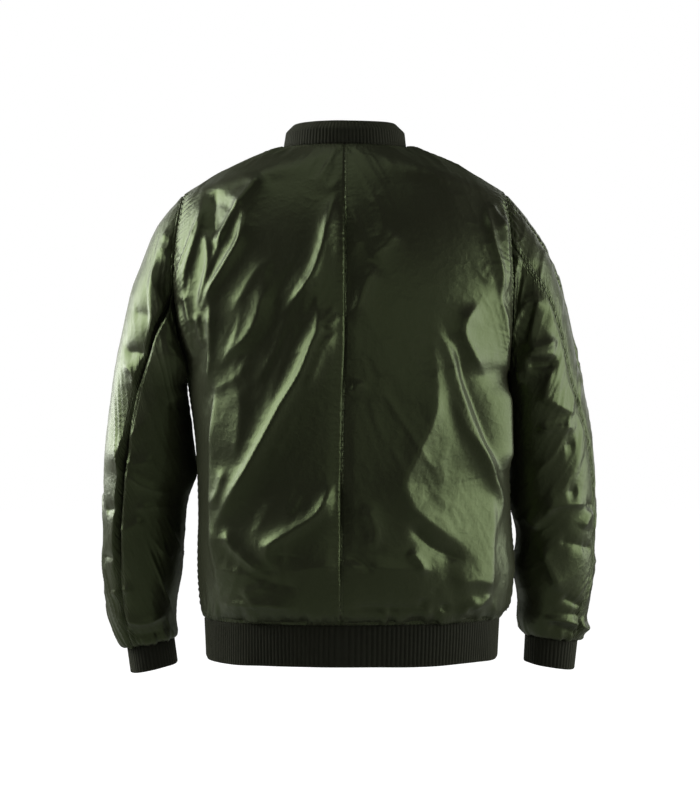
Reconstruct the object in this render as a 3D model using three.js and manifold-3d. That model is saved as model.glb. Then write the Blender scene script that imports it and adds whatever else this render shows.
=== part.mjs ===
// Bomber jacket, filled out as when worn, in millimetres.
// +Z is up, the front faces -Y, the back faces +Y and the wearer's left is +X.
// The origin is at the middle of the neck, level with the neck ends of the shoulder seams.
import * as THREE from 'three';
import Module from 'manifold-3d';
import { mergeVertices } from 'three/addons/utils/BufferGeometryUtils.js';

// Driving sizes.
const CLOTH = 1.6;
const RIB_WALL = 2.8;
const RIB_HEIGHT = 1.0;
const SEAM_GAP = 0.3;
const ZIP_HALF_WIDTH = 4.2;
const BACK_COLUMNS = 12;
const FRONT_COLUMNS = 10;
const NECK_COLUMNS = 4;
const BODY_STEPS = 10;
const YOKE_STEPS = 11;
const LONG_SLEEVE_SPANS = 6;
const SLEEVE_GIRTH_RADIUS = 45;
const DEGREE = Math.PI / 180;

// Steps over which the slope of the cloth is measured, across and up the body and round and along a sleeve.
const BODY_SLOPE = { share: 0.02, along: 4 };
const SLEEVE_SLOPE = { turn: 3, along: 0.12 };

const UNDERARM_ALONG = 310;
const SHOULDER_ALONG = 640;

// Sections of the body below the armholes, from the hem seam up.
// along: distance from the hem seam, measured on the cloth; left, right: reach from the middle.
const BODY_SECTIONS = [
  { along: 0, z: -604, middle: 5, left: 181, right: -199, back: 126, front: -125 },
  { along: 25, z: -585, middle: 5, left: 186, right: -212, back: 141, front: -139 },
  { along: 72, z: -540, middle: 5, left: 190, right: -217, back: 151, front: -146 },
  { along: 152, z: -460, middle: 5, left: 189, right: -212, back: 150, front: -147 },
  { along: 236, z: -375, middle: 4, left: 193, right: -212, back: 151, front: -150 },
  { along: UNDERARM_ALONG, z: -300, middle: 2, left: 203, right: -209, back: 153, front: -152 },
];

// Sections of the body beside the armholes, from just above the underarm to the neck.
// turn: place on the armhole, 180 at the underarm and 0 at the shoulder; bow: roundness of the section.
const YOKE_SECTIONS = [
  { along: 362, turn: 152, bow: 82, backZ: -252, back: 154, frontZ: -262, front: -153 },
  { along: 416, turn: 122, bow: 74, backZ: -198, back: 152, frontZ: -224, front: -149 },
  { along: 470, turn: 94, bow: 66, backZ: -144, back: 144, frontZ: -187, front: -139 },
  { along: 522, turn: 66, bow: 60, backZ: -94, back: 128, frontZ: -152, front: -125 },
  { along: 570, turn: 40, bow: 54, backZ: -50, back: 106, frontZ: -121, front: -108 },
  { along: 608, turn: 18, bow: 48, backZ: -20, back: 86, frontZ: -98, front: -94 },
];
const BODY_SQUARENESS = 2.35;
const SIDE_SEAM_Y = 12;
const SIDE_PIN_SHARE = 0.96;
const YOKE_SLOPE = 1.5;

// The neck seam: its middle back, its two sides and its middle front.
const NECK = { halfWidth: 79, sideY: 4, sideZ: 2, backY: 70, backZ: 0, frontY: -84, frontZ: -78, dip: 1.3 };
const NECK_SHARE = 0.38;
const SHOULDER_RISE = 5;
const SHOULDER_BLEND = { before: 0.12, after: 0.06 };

// The armhole seams: shoulder end, underarm end, and how far they reach back and forward.
const ARMHOLES = {
  left: { topX: 209, topZ: -60, lowX: 203, lowZ: -300, topY: 5, lowY: 12, back: 68, front: -60, backBow: 11 },
  right: { topX: 208, topZ: -58, lowX: 209, lowZ: -300, topY: 5, lowY: 12, back: 68, front: -60, backBow: 5 },
};
const BACK_BOW_POWER = 3;

// Sleeve sections, from just below the armhole to the turned-in end over the cuff.
// outX, outZ: outer side; inX, inZ: side towards the body; y, deep: middle and half depth;
// back, outer: places of the two long seams, in degrees from the outer side towards the back.
const SLEEVE_SECTIONS = {
  left: [
    { outX: 238, outZ: -94, inX: 207, inZ: -309, y: 4, deep: 71, back: 92, outer: -6 },
    { outX: 262, outZ: -146, inX: 206, inZ: -322, y: 0, deep: 75, back: 89, outer: -6 },
    { outX: 281, outZ: -208, inX: 203, inZ: -342, y: -7, deep: 76, back: 84, outer: -6 },
    { outX: 297, outZ: -272, inX: 200, inZ: -366, y: -14, deep: 75, back: 76, outer: -5 },
    { outX: 308, outZ: -335, inX: 197, inZ: -392, y: -22, deep: 73, back: 70, outer: -4 },
    { outX: 314, outZ: -395, inX: 194, inZ: -420, y: -27, deep: 69, back: 66, outer: -2 },
    { outX: 316, outZ: -455, inX: 207, inZ: -456, y: -32, deep: 65, back: 65, outer: 0 },
    { outX: 317, outZ: -505, inX: 212, inZ: -502, y: -38, deep: 62, back: 63, outer: 0 },
    { outX: 318, outZ: -555, inX: 217, inZ: -548, y: -46, deep: 60, back: 64, outer: 0 },
    { outX: 315, outZ: -595, inX: 223, inZ: -588, y: -53, deep: 56, back: 66, outer: 0 },
    { outX: 309, outZ: -625, inX: 225, inZ: -616, y: -58, deep: 51, back: 68, outer: 0 },
    { outX: 303, outZ: -644, inX: 224, inZ: -633, y: -60, deep: 47, back: 68, outer: 0 },
    { outX: 297, outZ: -652, inX: 226, inZ: -640, y: -61, deep: 42, back: 68, outer: 0 },
  ],
  right: [
    { outX: 240, outZ: -97, inX: 212, inZ: -309, y: 4, deep: 71, back: 66, outer: 22 },
    { outX: 268, outZ: -146, inX: 212, inZ: -322, y: 0, deep: 75, back: 60, outer: 22 },
    { outX: 289, outZ: -208, inX: 213, inZ: -342, y: -7, deep: 76, back: 56, outer: 21 },
    { outX: 303, outZ: -275, inX: 214, inZ: -366, y: -14, deep: 75, back: 53, outer: 18 },
    { outX: 316, outZ: -332, inX: 214, inZ: -392, y: -22, deep: 73, back: 46, outer: 13 },
    { outX: 325, outZ: -392, inX: 216, inZ: -420, y: -27, deep: 69, back: 34, outer: 7 },
    { outX: 328, outZ: -455, inX: 216, inZ: -456, y: -32, deep: 65, back: 26, outer: 2 },
    { outX: 329, outZ: -505, inX: 226, inZ: -502, y: -38, deep: 62, back: 24, outer: 0 },
    { outX: 328, outZ: -555, inX: 222, inZ: -545, y: -46, deep: 60, back: 30, outer: 0 },
    { outX: 324, outZ: -590, inX: 229, inZ: -585, y: -52, deep: 57, back: 42, outer: 0 },
    { outX: 320, outZ: -615, inX: 229, inZ: -608, y: -56, deep: 53, back: 48, outer: 0 },
    { outX: 318, outZ: -634, inX: 232, inZ: -625, y: -58, deep: 47, back: 50, outer: 0 },
    { outX: 314, outZ: -642, inX: 237, inZ: -634, y: -59, deep: 42, back: 50, outer: 0 },
  ],
};
const SLEEVE_SQUARENESS = 2.15;
const UNDERARM_TURN = 180;

// Rib-knit bands. Cuffs: top and bottom sections. Hem band: bottom edge. Collar: rings above the neck seam.
const CUFFS = {
  left: {
    top: { outX: 290, outZ: -653.2, inX: 228, inZ: -641.2, y: -61, deep: 35 },
    bottom: { outX: 285.5, outZ: -688, inX: 223.5, inZ: -675, y: -66, deep: 34 },
  },
  right: {
    top: { outX: 309, outZ: -643.2, inX: 240, inZ: -635.2, y: -59, deep: 35 },
    bottom: { outX: 306, outZ: -683, inX: 239, inZ: -673, y: -65, deep: 34 },
  },
};
const CUFF_DROP = 0.4;
const CUFF_RIBS = 34;
const HEM_BAND = { z: -655, middle: 5, left: 180, right: -197, back: 124, front: -123 };
const HEM_RIBS = 72;
const COLLAR_RINGS = [
  { up: 0.45, inward: 0 },
  { up: 19, inward: 2.5 },
  { up: 30, inward: 14 },
];
const COLLAR_RIBS = 36;
const COLLAR_MIDDLE = { y: -5, deep: 72 };

// The largest folds of the cloth, as seen from the back or the front.
// Each runs from (x1, z1) through (x2, z2) to (x3, z3); wide: half width; high: rise, or fall below zero.
const BODY_FOLDS = [
  { face: 'back', x1: 10, z1: -65, x2: 32, z2: -144, x3: 83, z3: -215, wide: 20, high: 8.1 },
  { face: 'back', x1: 35, z1: -172, x2: 32, z2: -234, x3: 108, z3: -387, wide: 21, high: 9.5 },
  { face: 'back', x1: 87, z1: -355, x2: 130, z2: -436, x3: 103, z3: -552, wide: 21, high: 8.1 },
  { face: 'back', x1: 100, z1: -160, x2: 108, z2: -209, x3: 160, z3: -276, wide: 18, high: 8.1 },
  { face: 'back', x1: 124, z1: -70, x2: 146, z2: -135, x3: 192, z3: -213, wide: 18, high: 8.1 },
  { face: 'back', x1: 173, z1: -185, x2: 172, z2: -264, x3: 182, z3: -324, wide: 16, high: -6.8 },
  { face: 'back', x1: 9, z1: -425, x2: 43, z2: -481, x3: 97, z3: -520, wide: 21, high: 8.1 },
  { face: 'back', x1: -113, z1: -236, x2: -143, z2: -311, x3: -173, z3: -400, wide: 23, high: 10.8 },
  { face: 'back', x1: -77, z1: -431, x2: -92, z2: -465, x3: -168, z3: -528, wide: 23, high: 8.1 },
  { face: 'back', x1: -185, z1: -120, x2: -200, z2: -180, x3: -206, z3: -270, wide: 17, high: -6.8 },
  { face: 'back', x1: -60, z1: -90, x2: -75, z2: -190, x3: -60, z3: -290, wide: 28, high: 5.4 },
  { face: 'front', x1: 40, z1: -150, x2: 70, z2: -240, x3: 150, z3: -330, wide: 23, high: 8.1 },
  { face: 'front', x1: 60, z1: -300, x2: 100, z2: -400, x3: 90, z3: -520, wide: 23, high: 8.1 },
  { face: 'front', x1: 175, z1: -200, x2: 165, z2: -300, x3: 180, z3: -380, wide: 18, high: -6.8 },
  { face: 'front', x1: -45, z1: -140, x2: -80, z2: -250, x3: -160, z3: -320, wide: 23, high: 8.1 },
  { face: 'front', x1: -70, z1: -330, x2: -120, z2: -420, x3: -110, z3: -530, wide: 23, high: 9.5 },
  { face: 'front', x1: -180, z1: -190, x2: -170, z2: -290, x3: -185, z3: -370, wide: 18, high: -6.8 },
];
const SLEEVE_FOLDS = {
  left: [
    { face: 'back', x1: 254, z1: -146, x2: 242, z2: -200, x3: 212, z3: -300, wide: 15, high: -9 },
    { face: 'back', x1: 268, z1: -180, x2: 262, z2: -235, x3: 248, z3: -290, wide: 13, high: 6 },
    { face: 'back', x1: 284, z1: -264, x2: 262, z2: -270, x3: 250, z3: -262, wide: 12, high: -4 },
    { face: 'back', x1: 287, z1: -277, x2: 273, z2: -294, x3: 271, z3: -318, wide: 13, high: 5 },
    { face: 'back', x1: 312, z1: -470, x2: 290, z2: -468, x3: 262, z3: -478, wide: 14, high: -5 },
    { face: 'back', x1: 305, z1: -522, x2: 285, z2: -530, x3: 255, z3: -520, wide: 13, high: -5 },
    { face: 'back', x1: 304, z1: -572, x2: 280, z2: -580, x3: 250, z3: -572, wide: 13, high: 5 },
    { face: 'front', x1: 290, z1: -300, x2: 265, z2: -360, x3: 230, z3: -400, wide: 16, high: -7 },
    { face: 'front', x1: 300, z1: -420, x2: 270, z2: -440, x3: 235, z3: -430, wide: 15, high: -7 },
    { face: 'front', x1: 300, z1: -530, x2: 275, z2: -545, x3: 240, z3: -535, wide: 14, high: 6 },
  ],
  right: [
    { face: 'back', x1: -226, z1: -130, x2: -214, z2: -170, x3: -214, z3: -200, wide: 14, high: 4.5 },
    { face: 'back', x1: -247, z1: -209, x2: -234, z2: -258, x3: -266, z3: -240, wide: 18, high: 5.2 },
    { face: 'back', x1: -225, z1: -282, x2: -230, z2: -306, x3: -275, z3: -267, wide: 16, high: -4.5 },
    { face: 'back', x1: -247, z1: -312, x2: -255, z2: -330, x3: -292, z3: -342, wide: 18, high: 4.5 },
    { face: 'back', x1: -233, z1: -476, x2: -255, z2: -491, x3: -275, z3: -466, wide: 18, high: -4.5 },
    { face: 'back', x1: -262, z1: -485, x2: -290, z2: -462, x3: -303, z3: -456, wide: 16, high: 4.5 },
    { face: 'back', x1: -270, z1: -545, x2: -290, z2: -555, x3: -315, z3: -530, wide: 16, high: -3.8 },
    { face: 'front', x1: -295, z1: -300, x2: -270, z2: -360, x3: -235, z3: -400, wide: 20, high: -5.2 },
    { face: 'front', x1: -310, z1: -425, x2: -280, z2: -440, x3: -245, z3: -432, wide: 19, high: -5.2 },
    { face: 'front', x1: -310, z1: -535, x2: -285, z2: -548, x3: -250, z3: -540, wide: 18, high: 4.5 },
  ],
};
// FOLD_STEPS: points looked at along each fold; FOLD_END_RISE: share of its rise at its ends;
// FOLD_FACING: how far the cloth faces back or front before a fold starts and is full.
const FOLD_STEPS = 14;
const FOLD_END_RISE = 0.35;
const FOLD_FACING = { from: 0.05, to: 0.55 };

// How far from the edges of a panel its folds fade out.
const FOLD_FADE = 30;
const SIDE_FADE_SHARE = 0.12;
const ZIP_FADE_SHARE = { from: 0.1, to: 0.3 };
const SLEEVE_FADE = { innerTurn: 35, top: 1.2, cuffFrom: 0.5, cuffTo: 2.5 };

// The gathers above the hem band: they start, reach their height and end at these places along the cloth.
const HEM_GATHER = { waves: 5, high: 2.6, shift: 0.6, start: 4, full: 20, end: 55 };

// The zip and its slider, with the pull tab hanging from a bar across the slider.
// Shares run from the bottom of the hem band to the neck.
const ZIP_TOP = 0.985;
const ZIP_SLOPE_STEP = 0.004;
const TAPE = { width: 12, thick: 1.0, under: 1.1, startShare: 0.08 };
const TEETH = { halfWidth: 3.0, proud: 0.8, steps: 26 };
const SLIDER = {
  width: 7.6, length: 13, thick: 4.4, sunk: 1.4, below: 17, tailShare: 0.7, shoulderShare: 0.45, barShare: 0.6,
};
const BAR = { radius: 0.9, above: 6.6, post: 1.5, postLength: 2.4, sunk: 1, gap: 3.6, sides: 12 };
const TAB = {
  neck: 2.6, waist: 4.5, shoulder: 9, width: 8, length: 30, thick: 1.4,
  bore: 1.35, eye: 2.6, rim: 0.9, rimTurn: 27, hole: 1.6, holeUp: 8, sides: 16,
};
const CURVE_SEGMENTS = 8;

const SIGN = { left: 1, right: -1 };
const FACE_SIGN = { back: 1, front: -1 };

const clamp = (value, low, high) => Math.min(high, Math.max(low, value));
const mix = (start, end, share) => start + (end - start) * share;

function smoothStep(low, high, value) {
  const share = clamp((value - low) / (high - low), 0, 1);
  return share * share * (3 - 2 * share);
}

// A curve through points at given stations, smooth where the stations are uneven.
function curveAt(stations, points, place) {
  let k = 0;
  while (k < stations.length - 2 && place > stations[k + 1]) {
    k += 1;
  }
  const span = stations[k + 1] - stations[k];
  const share = clamp((place - stations[k]) / span, 0, 1);
  const slope = (index) => {
    const before = Math.max(index - 1, 0);
    const after = Math.min(index + 1, points.length - 1);
    return points[after].clone().sub(points[before]).divideScalar(stations[after] - stations[before]);
  };
  const square = share * share;
  const cube = square * share;
  return points[k].clone().multiplyScalar(2 * cube - 3 * square + 1)
    .addScaledVector(slope(k), (cube - 2 * square + share) * span)
    .addScaledVector(points[k + 1], 3 * square - 2 * cube)
    .addScaledVector(slope(k + 1), (cube - square) * span);
}

// Share 0 to 1 of a rounded section: how far out it has gone, and how much depth is left.
function roundSection(share, bow, squareness) {
  const power = 2 / squareness;
  const angle = share * bow * DEGREE;
  const outMost = Math.sin(bow * DEGREE) ** power;
  const depthLeast = Math.abs(Math.cos(bow * DEGREE)) ** power;
  return {
    out: Math.sin(angle) ** power / outMost,
    deep: (Math.abs(Math.cos(angle)) ** power - depthLeast) / (1 - depthLeast),
  };
}

// The armhole seam: turn 0 at the shoulder, 90 at the back, 180 at the underarm, 270 at the front.
function armholePoint(side, turn) {
  const hole = ARMHOLES[side];
  const rise = (1 + Math.cos(turn * DEGREE)) / 2;
  const swing = Math.sin(turn * DEGREE);
  const x = mix(hole.lowX, hole.topX, rise) + (swing > 0 ? hole.backBow * swing ** BACK_BOW_POWER : 0);
  const y = mix(hole.lowY, hole.topY, rise) + (swing > 0 ? hole.back : -hole.front) * swing;
  return new THREE.Vector3(SIGN[side] * x, y, mix(hole.lowZ, hole.topZ, rise));
}

// The neck seam: share 0 at the middle back or front, 1 at the side of the neck.
function neckPoint(side, face, share) {
  const angle = share * 90 * DEGREE;
  const middle = face === 'back' ? { y: NECK.backY, z: NECK.backZ } : { y: NECK.frontY, z: NECK.frontZ };
  const left = Math.cos(angle);
  return new THREE.Vector3(
    SIGN[side] * NECK.halfWidth * Math.sin(angle),
    mix(NECK.sideY, middle.y, left),
    mix(NECK.sideZ, middle.z, left ** NECK.dip),
  );
}

// The neck seam as the body panels have it, straight between their columns.
function neckEdge(side, face, share) {
  const place = share * NECK_COLUMNS;
  const column = Math.min(Math.floor(place), NECK_COLUMNS - 1);
  const before = neckPoint(side, face, column / NECK_COLUMNS);
  return before.lerp(neckPoint(side, face, (column + 1) / NECK_COLUMNS), place - column);
}

// The seam line that ends the body at the top: round the neck, then out along the shoulder.
function topLine(side, face, share) {
  if (share <= NECK_SHARE) {
    return neckPoint(side, face, share / NECK_SHARE);
  }
  const out = (share - NECK_SHARE) / (1 - NECK_SHARE);
  const point = neckPoint(side, face, 1).lerp(armholePoint(side, 0), out);
  point.z += SHOULDER_RISE * Math.sin(Math.PI * out);
  return point;
}

function sectionPoint(side, face, section, share) {
  const form = roundSection(share, section.bow ?? 90, BODY_SQUARENESS);
  if (section.turn === undefined) {
    const reach = section[side];
    return new THREE.Vector3(
      mix(section.middle, reach, form.out),
      mix(SIDE_SEAM_Y, section[face], form.deep),
      section.z,
    );
  }
  const edge = armholePoint(side, face === 'back' ? section.turn : 360 - section.turn);
  const middleZ = section[`${face}Z`];
  return new THREE.Vector3(
    edge.x * form.out,
    mix(edge.y, section[face], form.deep),
    mix(middleZ, edge.z, share ** YOKE_SLOPE),
  );
}

// One half of the back or front before its folds: share 0 at the middle, 1 at the side or armhole.
function bodyBase(side, face, share, along) {
  const sections = [...BODY_SECTIONS, ...YOKE_SECTIONS];
  const stations = sections.map((section) => section.along);
  const points = sections.map((section) => sectionPoint(side, face, section, share));
  const top = topLine(side, face, share);
  const last = points[points.length - 1];
  const across = sectionPoint(side, face === 'back' ? 'front' : 'back', sections[sections.length - 1], share);
  const straight = top.clone().multiplyScalar(2).sub(last);
  const over = smoothStep(NECK_SHARE - SHOULDER_BLEND.before, NECK_SHARE + SHOULDER_BLEND.after, share);
  points.push(top, straight.lerp(across, over));
  stations.push(SHOULDER_ALONG, 2 * SHOULDER_ALONG - stations[stations.length - 1]);
  const point = curveAt(stations, points, along);
  if (along <= UNDERARM_ALONG) {
    point.y = mix(point.y, SIDE_SEAM_Y, smoothStep(SIDE_PIN_SHARE, 1, share));
  }
  return point;
}

// How far a point near the middle seam moves aside to part the two halves there.
function middleShift(gap, share) {
  return gap * Math.max(0, 1 - share / NECK_SHARE);
}

// One sleeve before its folds: turn in degrees round it, along counts its sections from the armhole.
function sleeveRing(side, row, turn) {
  const middle = new THREE.Vector3((row.outX + row.inX) / 2, row.y, (row.outZ + row.inZ) / 2);
  const out = new THREE.Vector3((row.outX - row.inX) / 2, 0, (row.outZ - row.inZ) / 2);
  const power = 2 / SLEEVE_SQUARENESS;
  const cosine = Math.cos(turn * DEGREE);
  const sine = Math.sin(turn * DEGREE);
  middle.addScaledVector(out, Math.sign(cosine) * Math.abs(cosine) ** power);
  middle.y += Math.sign(sine) * Math.abs(sine) ** power * row.deep;
  middle.x *= SIGN[side];
  return middle;
}

function sleeveBase(side, turn, along) {
  const rows = SLEEVE_SECTIONS[side];
  const first = armholePoint(side, turn);
  first.x += SIGN[side] * SEAM_GAP;
  const end = cuffSeamRow(side);
  const points = [first, ...rows.map((row) => sleeveRing(side, row, turn)), sleeveRing(side, end, turn)];
  const stations = points.map((point, index) => index);
  return curveAt(stations, points, along);
}

// A row at each section of the sleeve, and one more in each of its long spans.
function sleeveStations(side) {
  const last = SLEEVE_SECTIONS[side].length + 1;
  const stations = [];
  for (let k = 0; k <= last; k += 1) {
    stations.push(k);
    if (k < LONG_SLEEVE_SPANS) {
      stations.push(k + 0.5);
    }
  }
  return stations;
}

// The sleeve's end turns in over the cuff's top edge, as far as the cuff's inner face.
function cuffSeamRow(side) {
  const top = CUFFS[side].top;
  const above = CUFF_DROP + SEAM_GAP;
  return {
    outX: top.outX - RIB_WALL,
    outZ: top.outZ + above,
    inX: top.inX + RIB_WALL,
    inZ: top.inZ + above,
    y: top.y,
    deep: top.deep - RIB_WALL,
  };
}

function slopeNormal(surface, u, v, du, dv) {
  const across = surface(u + du, v).sub(surface(u - du, v));
  const up = surface(u, v + dv).sub(surface(u, v - dv));
  return across.cross(up).normalize();
}

// The rise of a fold at a point seen flat: high on the fold's curve, lower towards its two ends.
function foldRise(fold, x, z) {
  let best = Infinity;
  let place = 0;
  for (let k = 0; k <= FOLD_STEPS; k += 1) {
    const t = k / FOLD_STEPS;
    const curveX = (1 - t) * (1 - t) * fold.x1 + 2 * t * (1 - t) * fold.x2 + t * t * fold.x3;
    const curveZ = (1 - t) * (1 - t) * fold.z1 + 2 * t * (1 - t) * fold.z2 + t * t * fold.z3;
    const distance = Math.hypot(x - curveX, z - curveZ);
    if (distance < best) {
      best = distance;
      place = t;
    }
  }
  const taper = mix(FOLD_END_RISE, 1, Math.sin(Math.PI * place));
  return fold.high * taper * Math.exp(-((best / fold.wide) ** 2));
}

function foldsAt(folds, point, normal) {
  let rise = 0;
  for (const fold of folds) {
    const turned = normal.y * FACE_SIGN[fold.face];
    const facing = smoothStep(FOLD_FACING.from, FOLD_FACING.to, turned);
    if (facing > 0) {
      rise += facing * foldRise(fold, point.x, point.z);
    }
  }
  return rise;
}

// A closed wall from two grids of points, outer and inner, joined by rims at their open edges.
function wallGeometry(outer, inner, closed) {
  const rows = outer.length;
  const columns = outer[0].length;
  const positions = [];
  for (const grid of [outer, inner]) {
    for (const row of grid) {
      for (const point of row) {
        positions.push(point.x, point.y, point.z);
      }
    }
  }
  const index = [];
  const outside = (row, column) => row * columns + (column % columns);
  const inside = (row, column) => rows * columns + outside(row, column);
  const quad = (a, b, c, d) => index.push(a, b, c, a, c, d);
  const spans = closed ? columns : columns - 1;
  for (let row = 0; row < rows - 1; row += 1) {
    for (let column = 0; column < spans; column += 1) {
      quad(outside(row, column), outside(row, column + 1), outside(row + 1, column + 1), outside(row + 1, column));
      quad(inside(row, column), inside(row + 1, column), inside(row + 1, column + 1), inside(row, column + 1));
    }
  }
  for (let column = 0; column < spans; column += 1) {
    quad(inside(0, column), inside(0, column + 1), outside(0, column + 1), outside(0, column));
    quad(outside(rows - 1, column), outside(rows - 1, column + 1), inside(rows - 1, column + 1),
      inside(rows - 1, column));
  }
  if (!closed) {
    for (let row = 0; row < rows - 1; row += 1) {
      quad(outside(row, 0), outside(row + 1, 0), inside(row + 1, 0), inside(row, 0));
      quad(inside(row, columns - 1), inside(row + 1, columns - 1), outside(row + 1, columns - 1),
        outside(row, columns - 1));
    }
  }
  const geometry = new THREE.BufferGeometry();
  geometry.setAttribute('position', new THREE.Float32BufferAttribute(positions, 3));
  geometry.setIndex(index);
  if (signedVolume(positions, index) < 0) {
    flipFaces(index);
    geometry.setIndex(index);
  }
  geometry.computeVertexNormals();
  return geometry;
}

function signedVolume(positions, index) {
  let volume = 0;
  const corner = (k) => new THREE.Vector3().fromArray(positions, 3 * index[k]);
  for (let k = 0; k < index.length; k += 3) {
    volume += corner(k).dot(corner(k + 1).cross(corner(k + 2)));
  }
  return volume;
}

function flipFaces(index) {
  for (let k = 0; k < index.length; k += 3) {
    [index[k + 1], index[k + 2]] = [index[k + 2], index[k + 1]];
  }
}

// The rows of a body panel meet the underarm, and its columns meet the neck end of the shoulder seam.
function bodyStation(row) {
  if (row <= BODY_STEPS) {
    return UNDERARM_ALONG * (row / BODY_STEPS);
  }
  return mix(UNDERARM_ALONG, SHOULDER_ALONG, (row - BODY_STEPS) / YOKE_STEPS);
}

function bodyShare(column, columns) {
  if (column <= NECK_COLUMNS) {
    return NECK_SHARE * (column / NECK_COLUMNS);
  }
  return mix(NECK_SHARE, 1, (column - NECK_COLUMNS) / (columns - NECK_COLUMNS));
}

// One half of the back or the front.
function bodyPanel(side, face) {
  const columns = face === 'back' ? BACK_COLUMNS : FRONT_COLUMNS;
  const outwards = -SIGN[side] * FACE_SIGN[face];
  const edgeGap = face === 'back' ? SEAM_GAP / 2 : ZIP_HALF_WIDTH;
  const surface = (share, along) => bodyBase(side, face, clamp(share, 0, 1), clamp(along, 0, SHOULDER_ALONG));
  const outer = [];
  const inner = [];
  for (let row = 0; row <= BODY_STEPS + YOKE_STEPS; row += 1) {
    const along = bodyStation(row);
    const outerRow = [];
    const innerRow = [];
    for (let column = 0; column <= columns; column += 1) {
      const share = bodyShare(column, columns);
      const point = surface(share, along);
      const normal = slopeNormal(surface, share, along, BODY_SLOPE.share, BODY_SLOPE.along);
      normal.multiplyScalar(outwards);
      dressBodyEdge(point, normal, side, face, share, along, columns, column);
      const fade = smoothStep(0, FOLD_FADE, along) * smoothStep(0, FOLD_FADE, SHOULDER_ALONG - along);
      const zipFade = face === 'back' ? 1 : smoothStep(ZIP_FADE_SHARE.from, ZIP_FADE_SHARE.to, share);
      const edgeFade = smoothStep(0, SIDE_FADE_SHARE, 1 - share) * zipFade;
      const rise = fade * edgeFade * (foldsAt(BODY_FOLDS, point, normal) + gatherRise(share, along));
      point.x += SIGN[side] * middleShift(edgeGap, share);
      point.addScaledVector(normal, rise);
      outerRow.push(point);
      innerRow.push(point.clone().addScaledVector(normal, -CLOTH));
    }
    outer.push(outerRow);
    inner.push(innerRow);
  }
  return wallGeometry(outer, inner, false);
}

function gatherRise(share, along) {
  const wave = Math.sin(2 * Math.PI * HEM_GATHER.waves * share + HEM_GATHER.shift);
  const start = smoothStep(HEM_GATHER.start, HEM_GATHER.full, along);
  return HEM_GATHER.high * wave * start * (1 - smoothStep(HEM_GATHER.full, HEM_GATHER.end, along));
}

// Parts a panel's edges from their neighbours and squares its wall to them.
function dressBodyEdge(point, normal, side, face, share, along, columns, column) {
  if (column === columns) {
    if (along <= UNDERARM_ALONG) {
      point.y += FACE_SIGN[face] * SEAM_GAP / 2;
      normal.y = 0;
    } else {
      point.x -= SIGN[side] * SEAM_GAP / 2;
      normal.x = SIGN[side] * Math.max(normal.x * SIGN[side], 0);
    }
  }
  if (column === 0) {
    normal.x = 0;
  }
  if (along === 0) {
    point.z += SEAM_GAP / 2;
    normal.z = 0;
  }
  if (along === SHOULDER_ALONG && share >= NECK_SHARE) {
    point.y += FACE_SIGN[face] * SEAM_GAP / 2;
    normal.y = Math.max(-normal.y * FACE_SIGN[face], 0) * -FACE_SIGN[face];
  }
  normal.normalize();
}

// The three panels of a sleeve, as ranges round it: start and end seams and number of columns.
const SLEEVE_PANELS = {
  outer: { from: 'outer', to: 'back', columns: 5 },
  back: { from: 'back', to: 'under', columns: 8 },
  front: { from: 'under', to: 'outer', columns: 10 },
};

function seamTurn(side, seam, along) {
  if (seam === 'under') {
    return UNDERARM_TURN;
  }
  const rows = SLEEVE_SECTIONS[side];
  const place = clamp(along - 1, 0, rows.length - 1);
  const k = Math.min(Math.floor(place), rows.length - 2);
  return mix(rows[k][seam], rows[k + 1][seam], place - k);
}

function sleevePanel(side, name) {
  const panel = SLEEVE_PANELS[name];
  const length = SLEEVE_SECTIONS[side].length + 1;
  const surface = (turn, along) => sleeveBase(side, turn, clamp(along, 0, length));
  const outer = [];
  const inner = [];
  for (const along of sleeveStations(side)) {
    const from = seamTurn(side, panel.from, along);
    let to = seamTurn(side, panel.to, along);
    if (to < from) {
      to += 360;
    }
    const trim = SEAM_GAP / 2 / SLEEVE_GIRTH_RADIUS / DEGREE;
    const outerRow = [];
    const innerRow = [];
    for (let column = 0; column <= panel.columns; column += 1) {
      const turn = mix(from + trim, to - trim, column / panel.columns);
      const point = surface(turn, along);
      const normal = slopeNormal(surface, turn, along, SLEEVE_SLOPE.turn, SLEEVE_SLOPE.along);
      if (SIGN[side] > 0) {
        normal.negate();
      }
      if (along === 0) {
        normal.x = SIGN[side] * Math.min(normal.x * SIGN[side], 0);
        normal.normalize();
      }
      const nearBody = smoothStep(0, SLEEVE_FADE.innerTurn, Math.abs(((turn + 360) % 360) - UNDERARM_TURN));
      const nearCuff = smoothStep(SLEEVE_FADE.cuffFrom, SLEEVE_FADE.cuffTo, length - along);
      const fade = smoothStep(0, SLEEVE_FADE.top, along) * nearCuff * nearBody;
      point.addScaledVector(normal, fade * foldsAt(SLEEVE_FOLDS[side], point, normal));
      outerRow.push(point);
      innerRow.push(point.clone().addScaledVector(normal, -CLOTH));
    }
    outer.push(outerRow);
    inner.push(innerRow);
  }
  return wallGeometry(outer, inner, false);
}

// A rib-knit wall: ringAt gives a point of a row at a share round the band and an inset from its face.
// Every other column of the outer face stands out as a rib.
function ribbedWall(ringAt, rows, ribs, closed) {
  const columns = 2 * ribs;
  const last = closed ? columns - 1 : columns;
  const outer = [];
  const inner = [];
  for (let row = 0; row < rows; row += 1) {
    const outerRow = [];
    const innerRow = [];
    for (let column = 0; column <= last; column += 1) {
      const share = column / columns;
      outerRow.push(ringAt(row, share, column % 2 === 1 ? -RIB_HEIGHT : 0));
      innerRow.push(ringAt(row, share, RIB_WALL));
    }
    outer.push(outerRow);
    inner.push(innerRow);
  }
  return wallGeometry(outer, inner, closed);
}

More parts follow.
